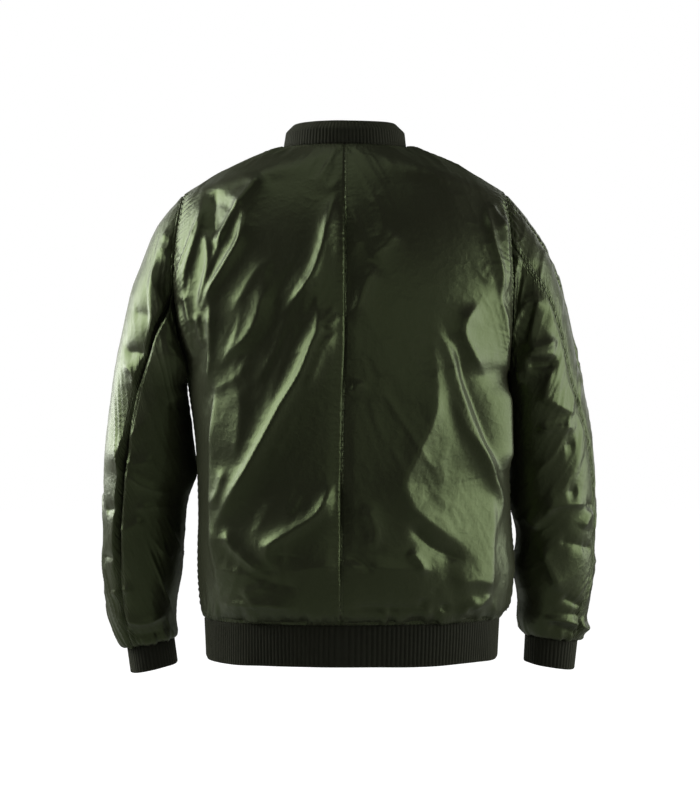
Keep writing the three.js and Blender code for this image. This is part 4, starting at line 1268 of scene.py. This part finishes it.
class Finishes:
    """Every finish of the jacket, made once."""

    def __init__(self) -> None:
        """Builds the shared effects, then the materials."""
        groups = {
            "tone": cloth_tone_group(),
            "weave": weave_group(),
            "crumple": crumple_group(),
            "knit": knit_group(),
            "seam": seam_pucker_group(),
        }
        self.nylon = NylonFinish().material(groups)
        self.rib = RIB_FINISH.material(groups)
        self.tape = TAPE_FINISH.material(groups)
        self.thread = THREAD_FINISH.material(groups)
        self.metal = MetalFinish().material(groups)


def dress(piece: bpy.types.Object, finish: bpy.types.Material, nodes: Words = ()) -> None:
    """Gives a piece its finish and its body, and hides the nodes of the frame that it stands for.

    Args:
        piece: The object.
        finish: Its finish.
        nodes: Nodes of the frame that it replaces.
    """
    piece.data.materials.clear()
    piece.data.materials.append(finish)
    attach(piece, "jacket")
    if nodes:
        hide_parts(*nodes)


def declare_sheet(piece: bpy.types.Object, base: np.ndarray) -> None:
    """Logs the size that a piece of cloth is cut to: its width, length and area.

    Args:
        piece: The object.
        base: Its uncreased form, in millimetres.
    """
    across, up = run_lengths(base, 1)[:, -1], run_lengths(base, 0)[-1]
    width, length = float(across.max()) * MM, float(up.max()) * MM
    cells = np.cross(np.diff(base, axis=1)[:-1], np.diff(base, axis=0)[:, :-1])
    area = min(float(np.linalg.norm(cells, axis=-1).sum()) * MM**2, width * length)
    log.info("%s: cut %.3f x %.3f m, area %.4f m2", piece.name, width, length, area)


@dataclass
class NylonPart:
    """What the body and the sleeves share: their form, their drape and how a panel is finished."""

    form: JacketForm
    drape: Drape
    cloth: float = 1.2
    placed: dict[object, Placed] = field(default_factory=dict)

    def sew(
        self,
        key: object,
        name: str,
        base: np.ndarray,
        points: np.ndarray,
        outwards: np.ndarray,
        seams: list[tuple[np.ndarray, np.ndarray]],
        nylon: bpy.types.Material,
        rests_on: str,
    ) -> bpy.types.Object:
        """Args:
            key: What its grid is kept under, for the stitches.
            name: Name of its node in the frame.
            base: Its points before creasing, in millimetres.
            points: Its creased points.
            outwards: Direction that points out of it at its middle.
            seams: Distance from each of its seams, and along it.
            nylon: Its finish.
            rests_on: Name of the piece that it hangs from; not used.

        Returns:
            The panel.
        """
        cut = np.stack([run_lengths(base, 1), run_lengths(base, 0)], axis=-1) * MM
        piece = cloth_mesh(f"{name}_cloth", points, cut, outwards, seam=nearest_seam(seams))
        add_thickness(piece, self.cloth * MM)
        dress(piece, nylon, (name,))
        declare_sheet(piece, base)
        self.placed[key] = Placed(points, grid_normals(points, outwards))
        return piece


@dataclass
class Body(NylonPart):
    """The two halves of the back and of the front."""

    back_pitch: tuple[float, float] = (2.8, 1.8)
    front_pitch: tuple[float, float] = (3.6, 3.0)
    half_girth: float = 275.0
    low_share: float = 0.48
    crowding: float = 0.3
    lean: float = -24.0
    overlap: float = 1.2

    def stations(self, face: Face) -> tuple[np.ndarray, np.ndarray]:
        """Places across and up a half, closer together where a seam needs it."""
        pitch = self.back_pitch if face is Face.BACK else self.front_pitch
        share = np.linspace(0, 1, int(self.half_girth / pitch[0]) + 1)
        share = share - self.crowding * np.sin(2 * math.pi * share) / (2 * math.pi)
        rows = int(self.form.shoulder_along / pitch[1])
        low_rows = int(rows * self.low_share)
        low = np.linspace(0, self.form.underarm_along, low_rows + 1)
        high = np.linspace(self.form.underarm_along, self.form.shoulder_along, rows - low_rows + 1)
        return share, np.concatenate([low, high[1:]])

    def half(self, side: Side, face: Face, nylon: bpy.types.Material) -> bpy.types.Object:
        """Builds one half of the back or the front.

        Args:
            side: Which half.
            face: Back or front.
            nylon: Its finish.

        Returns:
            The half.
        """
        share, along = self.stations(face)
        base = self.form.body(side, face, share, along)
        outwards = np.array([0.0, face.value, 0.0])
        normals = grid_normals(base, outwards)
        across, up = run_lengths(base, 1), run_lengths(base, 0)
        to_side, below_top = across[:, -1:] - across, up[-1:] - up
        is_back = face is Face.BACK
        seed = 11 + 7 * side.value + (0 if is_back else 40)
        centre = smooth_step(0, 17, across) if is_back else smooth_step(6, 26, across)
        inside = smooth_step(0, 16, to_side) * smooth_step(0, 16, below_top) * centre
        rise = self.drape.creases(BODY_CREASES, base, normals) * inside * smooth_step(0, 10, up)
        wrinkles = self.drape.wrinkles(across * side.value, up, self.lean * side.value, seed)
        rise += wrinkles * inside * smooth_step(0, 16, up)
        rise += HEM_GATHER.rise(across, up, up, seed + 20) * centre
        rise += ARMHOLE_SEAM.rise(to_side, up, seed + 30)
        rise += NECK_SEAM.rise(below_top, across, seed + 31)
        rise += HEM_SEAM.rise(up, across, seed + 32)
        if is_back:
            rise += CENTRE_SEAM.rise(across, up, seed + 33)
        else:
            rise += ZIP_SEAM.rise(across, up, seed + 33) * smooth_step(0, 3, across)
        lap = self.overlap
        points = tuck_edges(base + normals * rise[..., None], lap if is_back else 0.0, lap, lap, lap)
        if not is_back:
            points[..., 0] += side.value * ZIP_HALF_WIDTH * np.maximum(0, 1 - share / self.form.neck_share)
        centre_gap = 1.7 * across + 4.5
        seams = [(to_side, up), (below_top, across), (up, across), (centre_gap, up)]
        name = f"{face.word}_{side.word}"
        return self.sew((side, face), name, base, points, outwards, seams, nylon, "collar")

    def build(self, finishes: Finishes) -> list[bpy.types.Object]:
        """Builds all four halves."""
        return [self.half(side, face, finishes.nylon) for face in Face for side in Side]


@dataclass
class Sleeve(NylonPart):
    """One set-in sleeve of three panels."""

    side: Side = Side.LEFT
    pitch: tuple[float, float] = (2.6, 1.9)
    front_pitch: tuple[float, float] = (3.8, 2.8)
    girth: float = 420.0
    lean: float = 62.0
    wrinkles: float = 1.3
    front_wrinkles: float = 2.4
    overlap: float = 1.2
    top_overlap: float = 1.4

    def stations(self, pitch: float) -> np.ndarray:
        """Places along the sleeve, evenly spaced on the cloth."""
        last = len(SLEEVE_SECTIONS[self.side]) + 1
        fine = np.linspace(0, last, 40 * last + 1)
        turns = np.tile(np.array([0.0, 90.0, 180.0, 270.0]), (len(fine), 1))
        run = run_lengths(self.form.sleeve(self.side, turns, fine), 0).mean(axis=1)
        return np.interp(np.linspace(0, run[-1], int(run[-1] / pitch) + 1), run, fine)

    def panel(self, panel: Panel, nylon: bpy.types.Material) -> bpy.types.Object:
        """Builds one panel of the sleeve.

        Args:
            panel: Which panel.
            nylon: Its finish.

        Returns:
            The panel.
        """
        side, form, front = self.side, self.form, panel is Panel.FRONT
        pitch = self.front_pitch if front else self.pitch
        along = self.stations(pitch[1])
        start = form.seam_turn(side, panel.value[0], along)
        end = form.seam_turn(side, panel.value[1], along)
        end = np.where(end < start, end + 360, end)
        columns = int(PANEL_GIRTH[panel] / pitch[0])
        turn = mix(start[:, None], end[:, None], np.linspace(0, 1, columns + 1)[None, :])
        base = form.sleeve(side, turn, along)
        outwards = np.array(PANEL_FACING[panel]) * (side.value, 1, 1)
        normals = grid_normals(base, outwards)
        across, up = run_lengths(base, 1), run_lengths(base, 0)
        to_end, to_cuff = across[:, -1:] - across, up[-1:] - up
        ring = turn / 360 * self.girth
        outer_side = smooth_step(0, 40, np.abs((turn % 360) - 180))
        seams = smooth_step(0, 6, across) * smooth_step(0, 6, to_end)
        inside = seams * smooth_step(0, 12, up) * smooth_step(0, 8, to_cuff)
        seed = 101 + 9 * side.value + 3 * list(Panel).index(panel)
        rise = self.drape.creases(SLEEVE_CREASES[side], base, normals) * mix(0.25, 1.0, outer_side) * inside
        amount = (self.front_wrinkles if front else self.wrinkles) * mix(0.4, 1.0, outer_side)
        rise += amount * self.drape.wrinkles(ring, up, self.lean * side.value, seed) * inside
        rise += CUFF_GATHER.rise(ring, up, to_cuff, seed + 20)
        rise += SLEEVE_HEAD.rise(up, ring, seed + 30)
        for index, gap in enumerate((across, to_end)):
            rise += SLEEVE_SEAM.rise(gap, up, seed + 31 + index)
        lap = self.overlap
        points = tuck_edges(base + normals * rise[..., None], lap, lap, self.top_overlap, 0.0)
        pairs = [(across, up), (to_end, up), (up, ring), (to_cuff, ring)]
        name = f"sleeve_{side.word}_{panel.word}"
        return self.sew(panel, name, base, points, outwards, pairs, nylon, f"back_{side.word}_cloth")

    def build(self, finishes: Finishes) -> list[bpy.types.Object]:
        """Builds the three panels."""
        return [self.panel(panel, finishes.nylon) for panel in Panel]


@dataclass(frozen=True)
class FoldStep:
    """A step of a band's folded profile: share of its height, and inset, in millimetres."""

    up: float
    inset: float
    ribbed: float = 1.0


@dataclass
class RibBand:
    """A folded band of rib knit, swept up its outside, over its edge and down its inside."""

    name: str
    ribs: int
    wall: float
    rows: int
    high: float = 0.95
    columns_per_rib: int = 5
    skin: float = 0.9
    closed: bool = False

    def shares(self) -> np.ndarray:
        """Places round the band."""
        return np.linspace(0, 1, self.ribs * self.columns_per_rib + 1)

    def profile(self) -> list[FoldStep]:
        """The steps of the fold: up the outside, round the edge and down the inside."""
        edge, inside_rows = 0.94, 6
        steps = [FoldStep(-0.07, 1.8, 0.3), FoldStep(-0.02, 0.9, 0.7)]
        steps += [FoldStep(float(share), 0.0) for share in np.linspace(0.03, edge, self.rows)]
        for angle in np.linspace(0, math.pi, 7)[1:-1]:
            inset = self.wall * (1 - math.cos(angle)) / 2
            steps.append(FoldStep(edge + (1 - edge) * math.sin(angle), inset, 1 - angle / math.pi))
        steps += [FoldStep(float(share), self.wall, 0.35) for share in np.linspace(edge, 0.0, inside_rows)]
        return steps

    @staticmethod
    def round_body(share: np.ndarray, line: Line, half_gap: float, fade: float) -> np.ndarray:
        """Runs a ring from the middle of the front round the left side and the back to the front again.

        Args:
            share: Places round it, from 0 to 1.
            line: Gives points of a side and face at shares from its middle to its side.
            half_gap: How far each end stands off the middle, in millimetres.
            fade: Share of the front over which that gives way.

        Returns:
            The ring's points.
        """
        side_sign = np.where(share < 0.5, 1, -1)
        turned = np.abs(share - 0.5) * 2
        front = turned > 0.5
        part = np.where(front, 2 - 2 * turned, 2 * turned)
        ring = np.zeros((len(share), 3))
        for side in Side:
            for face in Face:
                mask = (side_sign == side.value) & (front == (face is Face.FRONT))
                ring[mask] = line(side, face, part[mask])
        ring[:, 0] += np.where(front, side_sign * half_gap * np.maximum(0, 1 - part / fade), 0)
        return ring

    def fold(
        self,
        ring_at: Callable[[FoldStep], tuple[np.ndarray, np.ndarray]],
        middle: tuple[float, float, float],
        rib: bpy.types.Material,
        rests_on: Words,
    ) -> bpy.types.Object:
        """Args:
            ring_at: Gives the band's points and their outward directions at a step of the fold.
            middle: Direction that points out of the cloth at the middle of the grid.
            rib: Its finish.
            rests_on: Names of the pieces that hold it; not used.

        Returns:
            The band.
        """
        ribs = self.high * (np.abs(np.sin(math.pi * self.ribs * self.shares())) ** 0.7 - 0.6)
        rows, plain = [], []
        for step in self.profile():
            points, outward = ring_at(step)
            plain.append(points)
            rows.append(points + outward * (ribs * step.ribbed)[:, None])
        base = np.array(plain)
        cut = np.stack([run_lengths(base, 1), run_lengths(base, 0)], axis=-1) * MM
        piece = cloth_mesh(self.name, np.array(rows), cut, np.array(middle), self.closed)
        add_thickness(piece, self.skin * MM)
        dress(piece, rib, (self.name.removesuffix("_knit"),))
        declare_sheet(piece, base)
        return piece


@dataclass
class Collar(RibBand):
    """The rib-knit collar round the neck, open at the zip."""

    name: str = "collar_knit"
    ribs: int = 108
    wall: float = 2.4
    rows: int = 12
    half_gap: float = 1.8
    stand: float = 30.0
    neck_middle: float = 5.0
    neck_depth: float = 72.0
    bend_share: float = 0.63
    low_lean: float = 2.5
    high_lean: float = 11.5

    def build(self, form: JacketForm, finishes: Finishes) -> bpy.types.Object:
        """Builds the collar.

        Args:
            form: The worn form of the jacket.
            finishes: The finishes.

        Returns:
            The collar.
        """
        share = self.shares()
        ring = self.round_body(share, form.neck, self.half_gap, 1.0)
        x, y = ring[:, 0] / form.neck_half_width, (ring[:, 1] + self.neck_middle) / self.neck_depth
        inward = unit(np.stack([-x, -y, np.zeros(len(share))], axis=-1))

        def ring_at(step: FoldStep) -> tuple[np.ndarray, np.ndarray]:
            """Points of the collar at a step of its fold: it leans in more above its bend."""
            lean = self.low_lean * (step.up / self.bend_share)
            if step.up > self.bend_share:
                lean = self.low_lean + self.high_lean * (step.up - self.bend_share) / (1 - self.bend_share)
            wave = 0.8 * lattice_noise(share * 23, share * 0 + step.up * 2, 71)
            points = ring + inward * (lean + step.inset - 0.2 + wave * step.up)[:, None]
            points[:, 2] += 0.4 + (self.stand + 0.7 * lattice_noise(share * 9, share * 0 + 0.3, 72)) * step.up
            return points, -inward

        return self.fold(ring_at, (0.0, 1.0, -0.3), finishes.rib, ("back_left_cloth", "back_right_cloth"))


@dataclass
class HemBand(RibBand):
    """The rib-knit band round the hem, open at the zip."""

    name: str = "hem_band_knit"
    ribs: int = 226
    wall: float = 2.6
    rows: int = 14

    def build(self, form: JacketForm, finishes: Finishes) -> bpy.types.Object:
        """Builds the hem band.

        Args:
            form: The worn form of the jacket.
            finishes: The finishes.

        Returns:
            The hem band.
        """
        share = self.shares()
        top, bottom = (
            self.round_body(
                share,
                lambda side, face, part, place=place: form.section(side, face, place, part),
                ZIP_HALF_WIDTH,
                form.neck_share,
            )
            for place in (BODY_SECTIONS[0], HEM_BOTTOM)
        )
        outward = unit(np.cross(unit(np.gradient(top, axis=0)), np.array([0.0, 0.0, 1.0])))
        from_middle = top - np.array([0, form.side_seam_y, 0])
        outward *= np.sign(np.sum(outward * from_middle, axis=1, keepdims=True))

        def ring_at(step: FoldStep) -> tuple[np.ndarray, np.ndarray]:
            """Points of the band at a step of its fold."""
            wave = 1.6 * lattice_noise(share * 26, share * 0 + step.up, 81) * step.up
            points = mix(top, bottom, step.up) - outward * (step.inset - wave)[:, None]
            points[:, 2] -= 0.3 + 1.2 * lattice_noise(share * 14, share * 0 + 0.3, 82) * step.up
            return points, outward

        return self.fold(ring_at, (0.0, 1.0, 0.0), finishes.rib, ("back_left_cloth", "back_right_cloth"))


@dataclass
class Cuff(RibBand):
    """A rib-knit cuff."""

    ribs: int = 46
    wall: float = 2.4
    rows: int = 10
    closed: bool = True
    side: Side = Side.LEFT

    def build(self, form: JacketForm, finishes: Finishes) -> bpy.types.Object:
        """Builds the cuff.

        Args:
            form: The worn form of the jacket.
            finishes: The finishes.

        Returns:
            The cuff.
        """
        share = self.shares()
        top, bottom = CUFF_SECTIONS[self.side]
        turn = share * 2 * math.pi
        wave = lattice_noise(np.cos(turn) * 2 + 5, np.sin(turn) * 2 + 5, 90 + self.side.value)

        def ring_at(step: FoldStep) -> tuple[np.ndarray, np.ndarray]:
            """Points of the cuff at a step of its fold."""
            sizes = ("out_x", "out_z", "in_x", "in_z", "y", "deep")
            ring = SleeveSection(*(mix(getattr(top, key), getattr(bottom, key), step.up) for key in sizes))
            shape = form.sleeve_ring(self.side, ring, 90 + share * 360)
            outward = (shape - shape.mean(axis=0)) * (1, 1, 0)
            outward = unit(outward)
            return shape - outward * (step.inset - 1.2 * wave * step.up)[:, None], outward

        middle = (-self.side.value * 1.0, 0.2, 0.0)
        return self.fold(ring_at, middle, finishes.rib, (f"sleeve_{self.side.word}_back_cloth",))


@dataclass
class Zip:
    """The front zip: its tapes and its teeth. The slider and its tab are the frame's own."""

    form: JacketForm
    tape_width: float = 12.0
    tape_inset: float = 0.3
    tape_depth: float = 2.4
    tape_thick: float = 0.8
    tape_grid: tuple[int, int] = (170, 5)
    tooth_pitch: float = 1.7
    tooth_size: tuple[float, float, float] = (4.4, 1.15, 2.0)
    tooth_bevel: float = 0.22
    tooth_shift: float = 0.55
    tooth_sink: float = 0.45
    bottom_share: float = 0.001
    top_share: float = 0.985
    slider_length: float = 17.3

    @property
    def band(self) -> float:
        """Height of the hem band, in millimetres."""
        return BODY_SECTIONS[0].z - HEM_BOTTOM.z

    def line(self, share: np.ndarray) -> tuple[np.ndarray, np.ndarray]:
        """Points and outward normals of the zip's middle, from the bottom of the hem band up."""
        band = self.band
        place = np.clip(share, 0, 1) * (band + self.form.shoulder_along)
        y = mix(float(HEM_BOTTOM.front), float(BODY_SECTIONS[0].front), place / band)
        low = np.stack([np.full_like(place, HEM_BOTTOM.middle), y, HEM_BOTTOM.z + place], axis=-1)
        high = self.form.body(Side.LEFT, Face.FRONT, np.zeros(1), np.maximum(place - band, 0))[:, 0]
        points = np.where((place < band)[:, None], low, high)
        step = np.gradient(points, axis=0)
        return points, unit(np.stack([np.zeros(len(points)), -step[:, 2], step[:, 1]], axis=-1))

    def tape(self, side: Side, finishes: Finishes) -> bpy.types.Object:
        """Builds one tape.

        Args:
            side: Which tape.
            finishes: The finishes.

        Returns:
            The tape.
        """
        rows, columns = self.tape_grid
        points, normals = self.line(np.linspace(0.0, self.top_share, rows))
        grid = points[:, None, :] + np.zeros((1, columns, 1)) - normals[:, None, :] * self.tape_depth
        grid[..., 0] += side.value * np.linspace(self.tape_inset, self.tape_width, columns)[None, :]
        cut = np.stack([run_lengths(grid, 1), run_lengths(grid, 0)], axis=-1) * MM
        name = f"zip_tape_{side.word}"
        piece = cloth_mesh(f"{name}_woven", grid, cut, np.array([0.0, -1.0, 0.2]))
        add_thickness(piece, self.tape_thick * MM)
        dress(piece, finishes.tape, (name,))
        declare_sheet(piece, grid)
        return piece

    def teeth(self, finishes: Finishes) -> bpy.types.Object:
        """Builds the closed row of teeth, left and right in turn.

        Args:
            finishes: The finishes.

        Returns:
            The row as one object.
        """
        total = self.band + self.form.shoulder_along
        end = self.top_share - self.slider_length / total
        points, normals = self.line(np.linspace(self.bottom_share, end, int(total * end / self.tooth_pitch)))
        tooth = bmesh.new()
        bmesh.ops.create_cube(tooth, size=1.0)
        bmesh.ops.scale(tooth, vec=Vector(self.tooth_size) * MM, verts=tooth.verts)
        bmesh.ops.bevel(tooth, geom=tooth.edges[:], offset=self.tooth_bevel * MM, segments=1, profile=0.5,
                        affect="EDGES", material=-1)
        places = []
        across = Vector((1, 0, 0))
        for index, (point, normal) in enumerate(zip(points, normals)):
            out = Vector(normal)
            shift = self.tooth_shift if index % 2 else -self.tooth_shift
            at = Vector(point * MM) + across * shift * MM - out * self.tooth_sink * MM
            places.append(turned_to(across, out.cross(across), out, at))
        piece = repeat_shape("zip_teeth_row", tooth, places)
        dress(piece, finishes.metal, ("zip_teeth",))
        return piece

    def build(self, finishes: Finishes) -> list[bpy.types.Object]:
        """Builds the tapes and the teeth, and dresses the slider and its tab."""
        pieces = [self.tape(side, finishes) for side in Side]
        pieces.append(self.teeth(finishes))
        for name in ("zip_slider", "zip_pull_tab"):
            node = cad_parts[name]
            node.data.materials.clear()
            node.data.materials.append(finishes.metal)
        return pieces


@dataclass
class Stitching:
    """Rows of topstitching laid on the finished cloth."""

    form: JacketForm
    long: float = 2.6
    gap: float = 0.9
    thick: float = 0.32
    lift: float = 0.1

    def lay(self, name: str, points: np.ndarray, normals: np.ndarray, finishes: Finishes) -> bpy.types.Object:
        """Lays stitches along a path.

        Args:
            name: Name of the row.
            points: The path, in millimetres.
            normals: Outward normals along it.
            finishes: The finishes.

        Returns:
            The row of stitches as one object.
        """
        run = np.concatenate([[0], np.cumsum(np.linalg.norm(np.diff(points, axis=0), axis=1))])
        starts = np.arange(self.long / 2, run[-1] - self.long / 2, self.long + self.gap)

        def read(grid: np.ndarray, places: np.ndarray) -> np.ndarray:
            """Reads the path at distances along it."""
            return np.stack([np.interp(places, run, grid[:, k]) for k in range(3)], axis=-1)

        ahead = unit(read(points, starts + 1) - read(points, starts - 1))
        places = []
        for at, forward, out in zip(read(points, starts), ahead, unit(read(normals, starts))):
            side = Vector(np.cross(out, forward)).normalized()
            places.append(turned_to(Vector(forward), side, Vector(out), Vector((at + out * self.lift) * MM)))
        thread = bmesh.new()
        bmesh.ops.create_icosphere(thread, subdivisions=1, radius=0.5)
        size = Vector((self.long, 1.5 * self.thick, self.thick)) * MM
        bmesh.ops.scale(thread, vec=size, verts=thread.verts)
        piece = repeat_shape(name, thread, places)
        for polygon in piece.data.polygons:
            polygon.use_smooth = True
        dress(piece, finishes.thread)
        return piece

    def build(self, body: Body, sleeves: list[Sleeve], finishes: Finishes) -> list[bpy.types.Object]:
        """Lays the topstitching beside the seams of the body and the long seams of the sleeves.

        Args:
            body: The finished halves.
            sleeves: The finished sleeves.
            finishes: The finishes.

        Returns:
            The rows of stitches.
        """
        pieces = []
        for (side, face), cloth in body.placed.items():
            rows, columns = cloth.points.shape[:2]
            share, along = body.stations(face)
            neck = int(np.searchsorted(share, self.form.neck_share))
            underarm = int(np.searchsorted(along, self.form.underarm_along))
            back = face is Face.BACK
            seams = [
                ("hem", Edge.LOW, 5.0, 2 if back else 6, columns - 3),
                ("neck", Edge.HIGH, 5.5, 1, neck),
                ("armhole", Edge.END, 5.2, underarm, rows - 3),
            ]
            if side is Side.RIGHT or not back:
                seams.append(("centre", Edge.START, 4.5 if back else 6.0, 2, rows - 3))
            for label, edge, inset, first, last in seams:
                name = f"stitches_{label}_{face.word}_{side.word}"
                pieces.append(self.lay(name, *cloth.beside(edge, inset, first, last), finishes))
        for sleeve in sleeves:
            cloth = sleeve.placed[Panel.OUTER]
            for label, edge in (("front", Edge.START), ("back", Edge.END)):
                path = cloth.beside(edge, 4.6, 3, len(cloth.points) - 4)
                pieces.append(self.lay(f"stitches_{label}_seam_sleeve_{sleeve.side.word}", *path, finishes))
        return pieces


@dataclass(frozen=True)
class Lamp:
    """A soft rectangular light that faces the jacket: sizes in metres, power in watts."""

    name: str
    place: tuple[float, float, float]
    size: tuple[float, float]
    power: float

    def build(self, target: tuple[float, float, float]) -> None:
        """Adds the light, turned to its target."""
        data = bpy.data.lights.new(self.name, "AREA")
        data.shape = "RECTANGLE"
        data.size, data.size_y = self.size
        data.energy = self.power
        lamp = bpy.data.objects.new(self.name, data)
        lamp.location = self.place
        aim = Vector(target) - Vector(self.place)
        lamp.rotation_euler = aim.to_track_quat("-Z", "Y").to_euler()
        bpy.context.scene.collection.objects.link(lamp)


LAMPS = (
    Lamp("left_softbox", (1.6, -0.12, 0.31), (1.6, 1.15), 34.5),
    Lamp("right_softbox", (-1.47, 0.17, -0.2), (1.5, 1.2), 18),
    Lamp("left_strip", (1.5, -0.95, -0.24), (0.7, 0.4), 5),
    Lamp("back_softbox", (-0.7, 3.0, 0.1), (2.4, 2.0), 4.8),
    Lamp("front_left_softbox", (1.35, -1.85, 0.3), (1.0, 1.6), 6.5),
    Lamp("front_right_softbox", (-1.35, -1.85, 0.2), (1.0, 1.6), 5.5),
    Lamp("top_softbox", (0.3, 0.4, 1.7), (1.4, 1.4), 3),
)


@dataclass
class Studio:
    """The plain pale floor, the soft lights and the camera."""

    eye: tuple[float, float, float] = (-0.0065, 2.4, -0.325)
    target: tuple[float, float, float] = (0, 0, -0.3)
    frame_high: float = 1.04
    sensor_high: float = 36.0
    floor_z: float = -0.95
    floor_half: float = 8.0
    floor_tones: tuple[Colour, Colour] = ((0.28, 0.28, 0.28, 1), (0.34, 0.34, 0.34, 1))
    ambient: float = 0.025

    def material(self) -> bpy.types.Material:
        """The floor's finish: pale, with a faint unevenness."""
        material = bpy.data.materials.new("pale_floor")
        material.use_nodes = True
        kit = NodeKit(material.node_tree)
        noise = kit.node("ShaderNodeTexNoise", {"Scale": 3.0}).outputs["Fac"]
        rays = kit.node("ShaderNodeLightPath").outputs["Is Camera Ray"]
        kit.fill(kit.tree.nodes["Principled BSDF"], {
            "Base Color": kit.blend(noise, *self.floor_tones), "Roughness": 0.9,
            "Emission Color": kit.blend(rays, (0, 0, 0, 1), (1, 1, 1, 1)), "Emission Strength": 1.0,
        })
        return material

    def build(self) -> None:
        """Sets up the floor, the world, the lights and the camera."""
        floor = bmesh.new()
        bmesh.ops.create_grid(floor, x_segments=4, y_segments=4, size=self.floor_half)
        bmesh.ops.translate(floor, vec=(0, 0, self.floor_z), verts=floor.verts)
        stage = link_shape("floor", floor)
        stage.data.materials.append(self.material())
        world = bpy.data.worlds.new("studio")
        world.use_nodes = True
        kit = NodeKit(world.node_tree)
        rays = kit.node("ShaderNodeLightPath").outputs["Is Camera Ray"]
        strength = kit.math("MULTIPLY_ADD", rays, 1 - self.ambient, self.ambient)
        kit.fill(kit.tree.nodes["Background"], {"Color": (1, 1, 1, 1), "Strength": strength})
        bpy.context.scene.world = world
        for lamp in LAMPS:
            lamp.build(self.target)
        camera = bpy.data.cameras.new("camera")
        camera.sensor_fit = "VERTICAL"
        camera.sensor_height = self.sensor_high
        camera.lens = self.sensor_high * self.eye[1] / self.frame_high
        seat = bpy.data.objects.new("camera", camera)
        seat.location = self.eye
        seat.rotation_euler = (math.pi / 2, 0, math.pi)
        bpy.context.scene.collection.objects.link(seat)
        bpy.context.scene.camera = seat
        bpy.context.scene.view_settings.view_transform = "Standard"


def main() -> None:
    """Builds the jacket piece by piece, then the studio."""
    logging.basicConfig(level=logging.INFO, format="%(name)s: %(message)s")
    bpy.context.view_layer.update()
    form, drape, finishes = JacketForm(), Drape(), Finishes()
    body = Body(form, drape)
    sleeves = [Sleeve(form, drape, side=side) for side in Side]
    pieces = body.build(finishes)
    for sleeve in sleeves:
        pieces += sleeve.build(finishes)
        pieces.append(Cuff(f"cuff_{sleeve.side.word}_knit", side=sleeve.side).build(form, finishes))
    pieces.append(Collar().build(form, finishes))
    pieces.append(HemBand().build(form, finishes))
    pieces += Zip(form).build(finishes)
    pieces += Stitching(form).build(body, sleeves, finishes)
    for piece in pieces:
        log.info("%s: %d faces", piece.name, len(piece.data.polygons))
    Studio().build()


if __name__ == "__main__":
    main()
